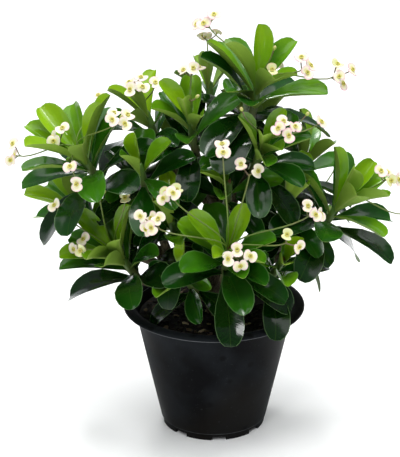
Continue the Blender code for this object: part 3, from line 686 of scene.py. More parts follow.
def stalk_lines():
    """For each spray: its shoot, its stalk's coarse and fine lines, and the way that it rises."""
    seats = {}
    for shoot, target, _, _ in SPRAYS:
        tip, axis = (Vector(row) for row in SHOOTS[shoot])
        across, other = square_to(axis.normalized())
        toward = (Vector(target) - tip) * MM
        seats.setdefault(shoot, []).append((math.atan2(toward.dot(other), toward.dot(across)), target))
    for shoot, target, _, _ in SPRAYS:
        tip, axis = Vector(SHOOTS[shoot][0]) * MM, Vector(SHOOTS[shoot][1]).normalized()
        across, other = square_to(axis)
        order = sorted(seats[shoot])
        place = [seat[1] for seat in order].index(target)
        angle = order[0][0] + 2 * math.pi * place / len(order)
        seat = tip + axis * GAP + (across * math.cos(angle) + other * math.sin(angle)) * STALK_SEAT
        end = Vector(target) * MM
        rising = ((end - seat).normalized() + UP * STALK_RISE).normalized()
        lines = [curve_between(seat, axis, end, rising, STALK_PULL, n) for n in (STALK_STEPS, FINE_STEPS)]
        yield shoot, *lines, rising


# %% Where the flowers and buds of a spray are held
PEDICEL_LENGTH = 13 * MM
HEAD_STEP = 2.2 * MM
HEAD_LEAN = math.radians(50)
MIDDLE_HEAD, LONE_HEAD = 1.6, 0.6
STEP_DOWN, MIDDLE_DOWN = 1.2 * MM, 0.5 * MM
PLANT_MIDDLE, BACK_FROM = Vector((0, 0, 260)) * MM, 60 * MM
FACE_ALONG, FACE_OUT = 0.6, 0.35
LIGHT_IN_FRONT, LIGHT_BEHIND = Vector((0, -0.6, 0.25)), Vector((0, 0.4, 0.25))
SIDE_SWING = 0.6
SPRAY_SEED = 13


def heads_of(line, rising, flowers, buds):
    """Foot, way, length, face and long way of each flower and bud round the end of a stalk."""
    first, second = square_to(rising)
    total = flowers + buds
    ring = total if total < 5 else total - 1
    chord = (line[-1] - line[-2]).normalized()
    outward = (line[-1] - PLANT_MIDDLE).normalized()
    start = random.uniform(0, 2 * math.pi)
    toward_light = LIGHT_IN_FRONT if line[-1].y < BACK_FROM else LIGHT_BEHIND
    heads = []
    for i in range(total):
        lean, length = HEAD_LEAN, PEDICEL_LENGTH + (HEAD_STEP if i % 2 else -HEAD_STEP)
        down = STEP_DOWN * (i + 1)
        if total == 1 or i == ring:
            length = PEDICEL_LENGTH * (LONE_HEAD if total == 1 else MIDDLE_HEAD)
            lean, down = 0, MIDDLE_DOWN
        bearing = start + 2 * math.pi * i / ring
        out = first * math.cos(bearing) + second * math.sin(bearing)
        way = rising * math.cos(lean) + out * math.sin(lean)
        face = (way * FACE_ALONG + outward * FACE_OUT + toward_light).normalized()
        side = second
        if random.random() >= 0.5:
            side = first + second * random.uniform(-SIDE_SWING, SIDE_SWING)
        long_way = (side - face * side.dot(face)).normalized()
        heads.append((line[-1] - chord * down, way, length, face, long_way))
    return heads


random.seed(SPRAY_SEED)
spray_plans = []
for number, (plan, (_, _, flowers, buds)) in enumerate(zip(stalk_lines(), SPRAYS), 1):
    shoot, coarse, fine, rising = plan
    heads = heads_of(coarse, rising, flowers, buds)
    spray_plans.append((f"{number:02d}_{shoot}", fine, heads, flowers))
print("sprays planned:", len(spray_plans), "heads:", sum(len(plan[2]) for plan in spray_plans))

# %% [markdown]
# ## One stalk, one flower, one bud
# The stalk is a slim rod with rings along it, so that it can bend. The flower has two broad bracts, which
# look like petals, round a small cup with five glands on its rim. A bract is modelled from a filled
# circle: an inner ring is inset, the sheet is dished and drawn to a small point, and Solidify gives it
# thickness. The cup is spun. A bud is two closed bracts, an egg shape spun with a pointed tip.

# %% The rod
rod = [(0, 0), *((1000, 1000 * i / FINE_STEPS) for i in range(FINE_STEPS + 1)), (0, 1000)]
stalk_shape = Shape(spun("stalk", rod, 6))


def along_line(line, low, high):
    """The rod's points bent along a line, with one radius at its foot and another at its end."""
    line = np.array(line)
    ways = np.gradient(line, axis=0)
    ways /= np.linalg.norm(ways, axis=1)[:, None]
    side = np.array(square_to(Vector(line[-1] - line[0]).normalized())[0])
    side = side - ways * (ways @ side)[:, None]
    side /= np.linalg.norm(side, axis=1)[:, None]
    other = np.cross(ways, side)
    x, y, rise = stalk_shape.points.T
    place = rise * (len(line) - 1)
    low_ring = np.minimum(place.astype(int), len(line) - 2)
    part = (place - low_ring)[:, None]
    middle, side, other = (row[low_ring] * (1 - part) + row[low_ring + 1] * part
                           for row in (line, side, other))
    return middle + (side * x[:, None] + other * y[:, None]) * (low + (high - low) * rise)[:, None]


print("stalk:", len(stalk_shape.faces), "faces")

# %% One bract
BRACT_SIDES, BRACT_THICKNESS, INNER_RING = 14, 0.6 * MM, 0.38
BRACT_MIDDLE, BRACT_REACH, BRACT_POINT, POINT_POWER = 3.5, 4.9, 0.25, 6
BRACT_HALF, BRACT_WIDENING = 6.5, 0.06
BRACT_END, END_LIFT, RIM_DROP, SIDE_LIFT, BASE_END = 8.6, 1.9, 0.7, 0.2, -0.5
BLUSH_REACH, BLUSH_HALF = 5.0, 6.6

bpy.ops.mesh.primitive_circle_add(vertices=BRACT_SIDES, radius=1, fill_type="TRIFAN")
bract = bpy.context.object
with editing(bract):
    bpy.ops.mesh.inset(thickness=INNER_RING)
for vertex in bract.data.vertices:
    x, y = vertex.co.x, vertex.co.y
    out = BRACT_MIDDLE + BRACT_REACH * x + BRACT_POINT * max(0, x) ** POINT_POWER
    side = BRACT_HALF * y * (1 + BRACT_WIDENING * x)
    drop = RIM_DROP * math.hypot(x, y) ** 4 * (x > BASE_END)
    dish = END_LIFT * (out / BRACT_END) ** 2 - drop + SIDE_LIFT * abs(y)
    vertex.co = (out * MM, side * MM, dish * MM)
thin = bract.modifiers.new("thickness", "SOLIDIFY")
thin.thickness, thin.offset = BRACT_THICKNESS, -1
bpy.ops.object.modifier_apply(modifier="thickness")
bract_shape = Shape(bract)
out, side, _ = bract_shape.points.T / MM
BRACT_RIM = np.hypot((out - BRACT_MIDDLE) / BLUSH_REACH, side / BLUSH_HALF)
print("bract:", len(bract_shape.faces), "faces")

# %% Cup, gland and bud
cup_shape = Shape(spun("cup", [(0, -2.0), (0.7, -2.0), (1.6, -0.6), (2.6, 1.2), (2.4, 1.8), (1.5, 1.6),
                               (1.2, 1.2), (0, 1.1)], 10))
bpy.ops.mesh.primitive_uv_sphere_add(segments=8, ring_count=5, radius=1 * MM)
gland = bpy.context.object
put_in_order(gland.data)
for vertex in gland.data.vertices:
    vertex.co = (vertex.co.x * 0.85, vertex.co.y * 1.05, vertex.co.z * 0.45)
gland_shape = Shape(gland)
bud_shape = Shape(spun("bud", [(0, 5.2), (0.6, 5.4), (1.5, 6.5), (2.0, 8.0), (1.8, 9.5), (1.0, 10.7),
                               (0.35, 11.2), (0, 11.3)], 8))
MOUTH_RADIUS, RIM_BREADTH = 0.8, 1.2
CUP_RIM = np.clip((np.hypot(*cup_shape.points[:, :2].T) / MM - MOUTH_RADIUS) / RIM_BREADTH, 0, 1)
print("cup:", len(cup_shape.faces), "gland:", len(gland_shape.faces), "bud:", len(bud_shape.faces))

# %% [markdown]
# ## Sprays on their solids
# Each spray becomes two pieces: the stalks, and the flowers and buds. A flower is set on its pedicel by a
# matrix that turns it the way the solid's flower looks. Some flowers have just opened and are small and
# greenish, and those on the top and right of the plant blush more at their edges.

# %% Lay the stalks and set the flowers
STALK_RADII, PEDICEL_RADII, PEDICEL_PULL = (0.95 * MM, 0.76 * MM), (0.7 * MM, 0.77 * MM), 0.3
CUP_DEPTH, BUD_FOOT, BUD_HEIGHT = 1.5 * MM, 5.6 * MM, 11 * MM
GLANDS, GLAND_TURN, GLAND_PLACE = 5, 0.3, (1.95 * MM, 0, 1.75 * MM)
BRACT_LIFT, BRACT_TWIST = (2, 10), (-0.12, 0.12)
YOUNG_SHARE, YOUNG_LIFT, YOUNG_SIZE, FULL_SIZE = 0.12, 14, (0.86, 0.94), (0.95, 1.0)
OLDER_SHOOTS, OLDER_BLUSH, BLUSH = ("top", "right", "upper_right", "middle"), (0.55, 1.1), (0.2, 0.8)

random.seed(29)
stalk_pieces, flower_pieces = {}, {}
for name, line, heads, flowers in spray_plans:
    stalks, blooms = Pile(), Pile()
    stalks.put(stalk_shape, along_line(line, *STALK_RADII), height=stalk_shape.points[:, 2])
    older = name[3:] in OLDER_SHOOTS
    for number, (foot, way, length, face, long_way) in enumerate(heads):
        centre = foot + way * length
        opened = number < flowers
        end = centre - face * CUP_DEPTH if opened else foot + way * BUD_FOOT
        pedicel = curve_between(foot, way, end, face if opened else way, PEDICEL_PULL, FINE_STEPS)
        stalks.put(stalk_shape, along_line(pedicel, *PEDICEL_RADII), height=1 + stalk_shape.points[:, 2])
        if not opened:
            blooms.put(bud_shape, bud_shape.moved(standing(foot, way)), slot=2,
                       rim=bud_shape.points[:, 2] / BUD_HEIGHT)
            continue
        turned = Matrix((long_way, face.cross(long_way), face)).transposed().to_4x4()
        set_in = Matrix.Translation(centre) @ turned
        young = random.random() < YOUNG_SHARE
        size = random.uniform(*(YOUNG_SIZE if young else FULL_SIZE))
        blush = random.uniform(*(OLDER_BLUSH if older else BLUSH))
        for half in (0, math.pi):
            raised = math.radians(random.uniform(*BRACT_LIFT) + YOUNG_LIFT * young)
            lift = Matrix.Rotation(-raised, 4, "Y")
            twist = Matrix.Rotation(half + random.uniform(*BRACT_TWIST), 4, "Z")
            own = twist @ lift @ Matrix.Scale(size, 4)
            blooms.put(bract_shape, bract_shape.moved(set_in @ own), rim=BRACT_RIM,
                       blush=blush, green=float(young))
        blooms.put(cup_shape, cup_shape.moved(set_in), slot=1, rim=CUP_RIM)
        for gland in range(GLANDS):
            own = Matrix.Rotation(2 * math.pi * gland / GLANDS + GLAND_TURN, 4, "Z")
            own = own @ Matrix.Translation(GLAND_PLACE)
            blooms.put(gland_shape, gland_shape.moved(set_in @ own), slot=1, rim=1.0)
    stalk_pieces[name] = stalks.piece("stalks_" + name)
    flower_pieces[name] = blooms.piece("flowers_" + name, sharp=50)
print("stalks:", len(stalk_pieces), "faces in the flowers:",
      sum(len(piece.data.polygons) for piece in flower_pieces.values()))

# %% [markdown]
# ## The flowers' finishes
# A bract is soft, matt tissue, a warm cream white with a pink blush along its rim. It lets some light
# through, which a little subsurface scattering shows. The cup and its glands are a waxy yellow-green
# with a darker mouth, and the stalks turn from green to a pinkish brown on their way up.

# %% Bract, cup, bud and stalk
bract_finish, tree, object_place, rim, blush, green = new_finish("soft_bract", "rim", "blush", "green")
flecks = add(tree, "TexNoise", {"Vector": object_place, "Scale": 0.5 / (2.5 * MM), "Detail": 2})
near_rim = add(tree, "MapRange", {"Value": rim, "From Min": 0.5, "From Max": 0.95})
uneven = add(tree, "Math", {0: near_rim, 1: flecks}, operation="MULTIPLY")
pink = add(tree, "Math", {0: uneven, 1: blush}, operation="MULTIPLY")
cream = add(tree, "Mix", {0: pink, 6: linear("#f4eedb"), 7: linear("#d285a4")}, **COLOUR_MIX)
near_cup = add(tree, "MapRange", {"Value": rim, "From Min": 0.75, "From Max": 0.25, "To Max": 0.5})
cream = add(tree, "Mix", {0: near_cup, 6: cream, 7: linear("#d8d27a")}, **COLOUR_MIX)
greenish = add(tree, "Math", {0: green, 1: 0.55}, operation="MULTIPLY")
cream = add(tree, "Mix", {0: greenish, 6: cream, 7: linear("#cbd77e")}, **COLOUR_MIX)
relief = add(tree, "Bump", {"Height": flecks, "Strength": 0.2, "Distance": 0.3 * MM})
skin = add(tree, "BsdfPrincipled", {"Base Color": cream, "Roughness": 0.55, "Normal": relief,
                                    "Subsurface Weight": 0.15, "Subsurface Scale": 1 * MM})
add(tree, "OutputMaterial", {"Surface": skin})

cup_finish, tree, object_place, rim = new_finish("waxy_flower_cup", "rim")
flecks = add(tree, "TexNoise", {"Vector": object_place, "Scale": 0.5 / (1.2 * MM), "Detail": 2})
toned = add(tree, "Mix", {0: rim, 6: linear("#8a8628"), 7: linear("#cfc75a")}, **COLOUR_MIX)
deeper = add(tree, "Math", {0: flecks, 1: 0.3}, operation="MULTIPLY")
toned = add(tree, "Mix", {0: deeper, 6: toned, 7: linear("#8f8a2c")}, **COLOUR_MIX)
skin = add(tree, "BsdfPrincipled", {"Base Color": toned, "Roughness": 0.35})
add(tree, "OutputMaterial", {"Surface": skin})

bud_finish, tree, object_place, rim = new_finish("closed_bud", "rim")
flecks = add(tree, "TexNoise", {"Vector": object_place, "Scale": 0.5 / (2 * MM), "Detail": 2})
opening = add(tree, "MapRange", {"Value": rim, "From Min": 0.6, "From Max": 1.0})
uneven = add(tree, "Math", {0: opening, 1: flecks}, operation="MULTIPLY")
toned = add(tree, "Mix", {0: uneven, 6: linear("#a9bc4e"), 7: linear("#d9b59a")}, **COLOUR_MIX)
skin = add(tree, "BsdfPrincipled", {"Base Color": toned, "Roughness": 0.45})
add(tree, "OutputMaterial", {"Surface": skin})

stalk_finish, tree, object_place, height = new_finish("slender_flower_stalk", "height")
flecks = add(tree, "TexNoise", {"Vector": object_place, "Scale": 0.5 / (4 * MM), "Detail": 2})
mixed = add(tree, "Math", {0: height, 1: flecks}, operation="MULTIPLY")
browning = add(tree, "MapRange", {"Value": mixed, "From Min": 0.2, "From Max": 0.85})
toned = add(tree, "Mix", {0: browning, 6: linear("#66812c"), 7: linear("#75604a")}, **COLOUR_MIX)
skin = add(tree, "BsdfPrincipled", {"Base Color": toned, "Roughness": 0.45})
add(tree, "OutputMaterial", {"Surface": skin})

for name in stalk_pieces:
    hand_in(stalk_pieces[name], [stalk_finish], "flower_white", "flower_spray_" + name)
    hand_in(flower_pieces[name], [bract_finish, cup_finish, bud_finish], "flower_white",
            "flower_spray_" + name)

# %% [markdown]
# ## The woody stems
# The solid of the trunk, limbs and twigs is one thorny body with flat sides. A copy of it is remeshed and
# smoothed, so that limbs grow out of each other without a crease, and a slow noise makes them a little
# knobbly. The remesh blunts the thorns, so each one is made again, a slim cone on the solid's thorn.

# %% One smooth skin over trunk, limbs and twigs
VOXEL = 1.7 * MM
KNOBBLE, KNOBBLE_SIZE = 0.45 * MM, 7 * MM

points, beside = joined_mesh("woody_stems")
woody = linked("woody_skin", frame["nodes"]["woody_stems"].data.copy())
with editing(woody):
    bpy.ops.mesh.remove_doubles(threshold=SAME_POINT)
woody.data.remesh_voxel_size = VOXEL
bpy.ops.object.voxel_remesh()
smooth = woody.modifiers.new("smooth", "SMOOTH")
smooth.factor, smooth.iterations = 0.5, 3
bpy.ops.object.modifier_apply(modifier="smooth")
outward = [vertex.normal.copy() for vertex in woody.data.vertices]
for vertex, normal in zip(woody.data.vertices, outward):
    vertex.co += normal * KNOBBLE * noise.noise(vertex.co / KNOBBLE_SIZE)
bpy.ops.object.shade_smooth()
print("woody skin:", len(woody.data.polygons), "faces")

# %% Thorns on the solid's thorns
SHORTEST_THORN, LONGEST_THORN, THORN_ROOT = 4 * MM, 16 * MM, 0.8 * MM
MOST_NEIGHBOURS, SLIM, HOLLOW = 5, 0.96, 0.45

bpy.ops.mesh.primitive_cone_add(vertices=7, radius1=1.3, radius2=0.12, depth=1, location=(0, 0, 0.5))
thorn = bpy.context.object
bpy.ops.object.transform_apply(location=True, rotation=False, scale=False)
with editing(thorn):
    bpy.ops.mesh.subdivide(number_cuts=1)
for vertex in thorn.data.vertices:
    taper = 1 - HOLLOW * math.sin(math.pi * vertex.co.z)
    vertex.co.x, vertex.co.y = vertex.co.x * taper, vertex.co.y * taper
thorn_shape = Shape(thorn)

thorn_pile = Pile()
for tip, near in enumerate(beside):
    foot = sum((points[i] for i in near), Vector()) / len(near)
    rise = points[tip] - foot
    length = rise.length
    slim = min((points[tip] - points[i]).normalized().dot(rise.normalized()) for i in near)
    if len(near) > MOST_NEIGHBOURS or slim < SLIM or not SHORTEST_THORN < length < LONGEST_THORN:
        continue
    stretch = Matrix.Diagonal((MM, MM, length + THORN_ROOT, 1))
    place = standing(foot - rise.normalized() * THORN_ROOT, rise)
    thorn_pile.put(thorn_shape, thorn_shape.moved(place @ stretch), rise=thorn_shape.points[:, 2])
thorns = thorn_pile.piece("thorns")
print("thorns:", len(thorn_pile.faces) // len(thorn_shape.faces), "of", len(thorn_shape.faces), "faces")

# %% [markdown]
# The bark is grey-brown and dull, rough with leaf scars and fine cracks, and greener where it is young,
# high in the plant; its tones are painted darker as well, as painted shade for the inside of the crown.
# The thorns are woody too, greyer, with dark sharp tips.

# %% Bark and thorn
thorny_bark, tree, object_place = new_finish("thorny_bark")
patches = add(tree, "TexNoise", {"Vector": object_place, "Scale": 0.5 / (9 * MM), "Detail": 5})
stretched = add(tree, "Mapping", {"Vector": object_place, "Scale": (1, 1, 0.35)})
cracks = add(tree, "TexVoronoi", {"Vector": stretched, "Scale": 1 / (3.2 * MM)},
             feature="DISTANCE_TO_EDGE")
crack = add(tree, "MapRange", {"Value": cracks, "From Min": 0.0, "From Max": 0.12})
# These bark tones are painted darker than the bark alone, as painted shade for the dim inside of the crown.
tone = add(tree, "Mix", {0: patches, 6: linear("#3a3126"), 7: linear("#6e634e")}, **COLOUR_MIX)
level = add(tree, "SeparateXYZ", {"Vector": object_place}, output="Z")
youth = add(tree, "MapRange", {"Value": level, "From Min": 0.22, "From Max": 0.36, "To Max": 0.45})
tone = add(tree, "Mix", {0: youth, 6: tone, 7: linear("#5f6a38")}, **COLOUR_MIX)
tone = add(tree, "Mix", {0: crack, 6: linear("#1d170f"), 7: tone}, **COLOUR_MIX)
lumps = add(tree, "Math", {0: patches, 1: 0.6, 2: crack}, operation="MULTIPLY_ADD")
relief = add(tree, "Bump", {"Height": lumps, "Strength": 0.6, "Distance": 0.7 * MM})
skin = add(tree, "BsdfPrincipled", {"Base Color": tone, "Roughness": 0.8, "Normal": relief,
                                    "Specular IOR Level": 0.3})
add(tree, "OutputMaterial", {"Surface": skin})

thorn_finish, tree, object_place, rise = new_finish("woody_thorn", "rise")
grain = add(tree, "TexNoise", {"Vector": object_place, "Scale": 0.5 / (1.5 * MM), "Detail": 2})
mixed = add(tree, "Math", {0: grain, 1: 0.5, 2: rise}, operation="MULTIPLY_ADD")
darkening = add(tree, "MapRange", {"Value": mixed, "From Min": 0.6, "From Max": 1.2})
tone = add(tree, "Mix", {0: darkening, 6: linear("#8a7c68"), 7: linear("#33271d")}, **COLOUR_MIX)
skin = add(tree, "BsdfPrincipled", {"Base Color": tone, "Roughness": 0.6})
add(tree, "OutputMaterial", {"Surface": skin})
hand_in(woody, [thorny_bark], "bark", "woody_stems")
hand_in(thorns, [thorn_finish], "bark", "woody_stems")

# %% [markdown]
# ## The pot
# A nursery pot is moulded in one thin wall of black polypropylene, with a rolled lip to carry it by and a
# low foot ring, notched so that water runs out. The profile is spun, the notches and drain holes are cut
# with a Boolean, and a small bevel rounds every edge, as in a mould.

# %% Spin the pot and cut its notches and drains
POT_STEPS = 96
FLOOR_LEVEL, FLOOR_RADIUS, WALL_RISE, WALL_WIDENING, WALL = 6, 60.3, 144, 31.2, 1.7
NOTCHES, NOTCH_REACH, NOTCH_SIZE = 8, 59, (14 * MM, 16 * MM, 6.4 * MM)
DRAINS, DRAIN_REACH, DRAIN_RADIUS = 4, 32, 5 * MM
FIRST_NOTCH = math.radians(-84.5)
MOULD_EDGE = 0.35 * MM


def inside(height):
    """Radius of the pot's inside at a height, both in millimetres."""
    return FLOOR_RADIUS + WALL_WIDENING * (height - FLOOR_LEVEL) / WALL_RISE


def round_the_pot(turn, reach, height):
    """Angle and place of a cutter: its turn from the first notch, its reach and height in millimetres."""
    angle = FIRST_NOTCH + turn
    return angle, Vector((math.cos(angle), math.sin(angle), 0)) * reach * MM + UP * height * MM


pot_profile = [
    (6, 6), (56.5, 6), (57.2, 0), (60.4, 0), (60.8, 7.6), (62.3, 8.3), (inside(100) + WALL, 100),
    (inside(144) + WALL, 144), (inside(145) + 2.4, 145.2), (100.6, 146), (103.2, 145.7), (104.3, 145.4),
    (104.9, 145.9), (105, 147), (104.6, 148), (103.2, 148.9), (100, 149.6), (96, 150), (93, 149.3),
    (91.5, 147.8), (inside(100), 100), (inside(8), 8), (6, 8)]
pot = spun("nursery_pot", pot_profile, POT_STEPS, closed=True)
cutters = []
for notch in range(NOTCHES):
    angle, place = round_the_pot(2 * math.pi * notch / NOTCHES, NOTCH_REACH, 1.2)
    bpy.ops.mesh.primitive_cube_add(size=1, location=place, rotation=(0, 0, angle), scale=NOTCH_SIZE)
    cutters.append(bpy.context.object)
for drain in range(DRAINS):
    _, place = round_the_pot(2 * math.pi * (drain + 0.5) / DRAINS, DRAIN_REACH, 7)
    bpy.ops.mesh.primitive_cylinder_add(vertices=24, radius=DRAIN_RADIUS, depth=10 * MM, location=place)
    cutters.append(bpy.context.object)
choose(cutters[0])
for cutter in cutters:
    cutter.select_set(True)
bpy.ops.object.join()
cut = pot.modifiers.new("notches", "BOOLEAN")
cut.operation, cut.solver, cut.object = "DIFFERENCE", "EXACT", cutters[0]
choose(pot)
bpy.ops.object.modifier_apply(modifier="notches")
bpy.data.objects.remove(cutters[0])
rounded = pot.modifiers.new("rounded", "BEVEL")
rounded.width, rounded.segments, rounded.limit_method = MOULD_EDGE, 2, "ANGLE"
rounded.angle_limit = math.radians(38)
bpy.ops.object.modifier_apply(modifier="rounded")
bpy.ops.object.shade_smooth_by_angle(angle=math.radians(40))
print("pot:", len(pot.data.polygons), "faces")

# %% [markdown]
# Moulded polypropylene is black all through and slightly waxy. Outdoors it goes dull: a thin grey bloom
# of dust and dried water in soft patches, a brown tinge of earth, dark spots where drops ran, and pale
# scuff marks on the foot step, an edge that gets handled. A pale line round the crease under the lip is a
# painted highlight. The bloom tells the eye that the pot has stood in a nursery.

# %% Dusty black polypropylene
LIP_CREASE, FOOT_STEP = 145.7 * MM, 8.2 * MM

pot_finish, tree, object_place = new_finish("moulded_polypropylene")
bloom = add(tree, "TexNoise", {"Vector": object_place, "Scale": 0.5 / (38 * MM), "Detail": 3,
                               "Roughness": 0.5})
dust = add(tree, "MapRange", {"Value": bloom, "From Min": 0.42, "From Max": 0.6})
tone = add(tree, "Mix", {0: dust, 6: linear("#060709"), 7: linear("#181b1e")}, **COLOUR_MIX)
earth = add(tree, "TexNoise", {"Vector": object_place, "Scale": 0.5 / (70 * MM), "Detail": 1})
earthy = add(tree, "MapRange", {"Value": earth, "From Min": 0.5, "From Max": 0.62, "To Max": 0.6})
tone = add(tree, "Mix", {0: earthy, 6: tone, 7: linear("#17140f")}, **COLOUR_MIX)
drops = add(tree, "TexVoronoi", {"Vector": object_place, "Scale": 1 / (22 * MM)}, feature="F1")
drop = add(tree, "MapRange", {"Value": drops, "From Min": 0.1, "From Max": 0.24, "To Min": 0.1})
tone = add(tree, "Mix", {0: drop, 6: linear("#0a0b0c"), 7: tone}, **COLOUR_MIX)
specks = add(tree, "TexNoise", {"Vector": object_place, "Scale": 0.5 / (1.6 * MM), "Detail": 2})
speck = add(tree, "MapRange", {"Value": specks, "From Min": 0.66, "From Max": 0.74, "To Max": 0.35})
tone = add(tree, "Mix", {0: speck, 6: tone, 7: linear("#303233")}, **COLOUR_MIX)
level = add(tree, "SeparateXYZ", {"Vector": object_place}, output="Z")
# The pale line at the lip's crease is a painted highlight; the one at the foot step stands for scuff marks.
crease = add(tree, "Math", {0: level, 1: LIP_CREASE, 2: 0.5 * MM}, operation="COMPARE")
step = add(tree, "Math", {0: level, 1: FOOT_STEP, 2: 0.45 * MM}, operation="COMPARE")
highlight_and_scuffs = add(tree, "Math", {0: crease, 1: step}, operation="ADD")
highlight_and_scuffs = add(tree, "Math", {0: highlight_and_scuffs, 1: bloom}, operation="MULTIPLY")
tone = add(tree, "Mix", {0: highlight_and_scuffs, 6: tone, 7: linear("#777a7c")}, **COLOUR_MIX)
dullness = add(tree, "MapRange", {"Value": bloom, "From Min": 0.3, "From Max": 0.7,
                                  "To Min": 0.42, "To Max": 0.66})
relief = add(tree, "Bump", {"Height": specks, "Strength": 0.15, "Distance": 0.2 * MM})
skin = add(tree, "BsdfPrincipled", {"Base Color": tone, "Roughness": dullness, "Normal": relief,
                                    "IOR": 1.49, "Specular IOR Level": 0.04})
add(tree, "OutputMaterial", {"Surface": skin})
hand_in(pot, [pot_finish], "black_plastic", "pot")

# %% [markdown]
# ## Potting mix and husk chips
# The pot is filled with dark, damp mix, lumpy on top, with chips of coconut husk and bark lying on it.
# The mix is spun and its top is moved up and down by noise. A chip is a small cube, subdivided, bent and
# roughened once, then stretched, turned and dropped on to the surface by casting a ray down for each one.

# %% The mix
SOIL_TOP, SOIL_REACH, SOIL_RINGS = 136, 83.5, 22
CLOD_HEIGHT, CLOD, CRUMB, CRUMB_SHARE = 1.9 * MM, 11 * MM, 4 * MM, 0.6

soil_profile = [(0, 8.6), (inside(8.6) - 1, 8.6), (inside(128) - 1, 128), (inside(134) - 1, 134)]
soil_profile += [(SOIL_REACH * (1 - i / SOIL_RINGS), SOIL_TOP) for i in range(SOIL_RINGS)]
soil_profile += [(0, SOIL_TOP)]
soil = spun("potting_mix_fill", soil_profile, 72)
for vertex in soil.data.vertices:
    if vertex.co.z > (SOIL_TOP - 1) * MM:
        lumps = noise.noise(vertex.co / CLOD) + CRUMB_SHARE * noise.noise(vertex.co / CRUMB)
        vertex.co.z += CLOD_HEIGHT * lumps
choose(soil)
bpy.ops.object.shade_smooth_by_angle(angle=math.radians(60))

# %% The chips
CHIPS, CHIP_REACH = 420, 84
CHIP_LONG, CHIP_WIDE, CHIP_THICK = (3, 10), (1.5, 4.5), (0.8, 2.0)
CHIP_ROUGHNESS, CHIP_BEND, CHIP_LIFT = 0.09, 0.35, (0.2, 0.7)
DROP_HEIGHT, TILT, ROLL = 0.2, 0.22, 0.25
DARK_POWER, DRY_SHARE = 1.6, 0.03

bpy.ops.mesh.primitive_cube_add(size=1)
chip = bpy.context.object
with editing(chip):
    bpy.ops.mesh.subdivide(number_cuts=1, smoothness=0.6)
random.seed(5)
for vertex in chip.data.vertices:
    vertex.co += Vector(random.uniform(-CHIP_ROUGHNESS, CHIP_ROUGHNESS) for _ in range(3))
    vertex.co.z += CHIP_BEND * vertex.co.x ** 2
chip_shape = Shape(chip)

surface = BVHTree.FromObject(soil, bpy.context.evaluated_depsgraph_get())
chip_pile = Pile()
for _ in range(CHIPS):
    long, wide, thick = (random.uniform(*sizes) for sizes in (CHIP_LONG, CHIP_WIDE, CHIP_THICK))
    far = (CHIP_REACH - long / 2) * math.sqrt(random.random())
    around = random.uniform(0, 2 * math.pi)
    above = Vector((far * math.cos(around) * MM, far * math.sin(around) * MM, DROP_HEIGHT))
    spot = surface.ray_cast(above, -UP)[0]
    lie = Matrix.Rotation(random.uniform(0, 6.28), 4, "Z")
    lie = lie @ Matrix.Rotation(random.gauss(0, TILT), 4, "Y")
    lie = lie @ Matrix.Rotation(random.gauss(0, ROLL), 4, "X")
    size = Matrix.Diagonal((long * MM, wide * MM, thick * MM, 1))
    place = Matrix.Translation(spot + UP * thick * random.uniform(*CHIP_LIFT) * MM)
    tone = random.random() ** DARK_POWER if random.random() > DRY_SHARE else 1.0
    chip_pile.put(chip_shape, chip_shape.moved(place @ lie @ size), tone=tone)
chips = chip_pile.piece("husk_chips", sharp=35)
print("chips:", CHIPS, "of", len(chip_shape.faces), "faces")

# %% [markdown]
# Damp mix is dark brown and hardly shines, and its colour is painted almost black besides, as painted
# shade of the leaves over it. Most chips are dark, wet brown and a few are dry tan, which gives the
# surface its coarse, woody look.

# %% Potting mix and husk
mix_finish, tree, object_place = new_finish("damp_mix_with_painted_shade")
crumbs = add(tree, "TexVoronoi", {"Vector": object_place, "Scale": 1 / (3 * MM)}, feature="F1")
clods = add(tree, "TexNoise", {"Vector": object_place, "Scale": 0.5 / (5 * MM), "Detail": 6})
# Near-black tones: the damp mix's own dark brown, painted darker still as shade of the leaves above it.
tone = add(tree, "Mix", {0: clods, 6: linear("#050403"), 7: linear("#130f0b")}, **COLOUR_MIX)
relief = add(tree, "Bump", {"Height": crumbs, "Strength": 0.8, "Distance": 1.2 * MM})
skin = add(tree, "BsdfPrincipled", {"Base Color": tone, "Roughness": 0.9, "Normal": relief,
                                    "Specular IOR Level": 0.25})
add(tree, "OutputMaterial", {"Surface": skin})

husk_finish, tree, object_place, shade = new_finish("coconut_husk_chip", "tone")
fibres = add(tree, "TexNoise", {"Vector": object_place, "Scale": 0.5 / (1.5 * MM), "Detail": 4})
husk = add(tree, "ValToRGB", {"Fac": shade})
ramp = husk.node.color_ramp
ramp.elements[0].color, ramp.elements[1].color = linear("#080605"), linear("#a8987c")
for stop, colour in ((0.5, "#120d09"), (0.86, "#2e241a"), (0.98, "#5a4a38")):
    ramp.elements.new(stop).color = linear(colour)
darker = add(tree, "Math", {0: fibres, 1: 0.7}, operation="MULTIPLY")
tone = add(tree, "Mix", {0: darker, 6: husk, 7: linear("#1a120b")}, **COLOUR_MIX)
relief = add(tree, "Bump", {"Height": fibres, "Strength": 0.6, "Distance": 0.5 * MM})
skin = add(tree, "BsdfPrincipled", {"Base Color": tone, "Roughness": 0.85, "Normal": relief,
                                    "Specular IOR Level": 0.25})
add(tree, "OutputMaterial", {"Surface": skin})
hand_in(soil, [mix_finish], "potting_mix", "soil")
hand_in(chips, [husk_finish], "potting_mix", "soil")

# %% [markdown]
# ## Floor, light and camera
# The plant was photographed on white, under broad daylight from above. A large white floor lies under a
# sky that is brighter overhead and in a low band, which stands for a far white wall. A sun spread over
# nearly half the sky, as behind bright cloud, gives the soft shadow round the pot. Three small lamps put
# sharp lights on the waxy leaves: one high behind, one overhead and one in front. The camera stands
# 1.75 m away and looks down by 21 degrees, which the ellipse of the pot's lip gives.

# %% Floor
FLOOR_SIZE = 14

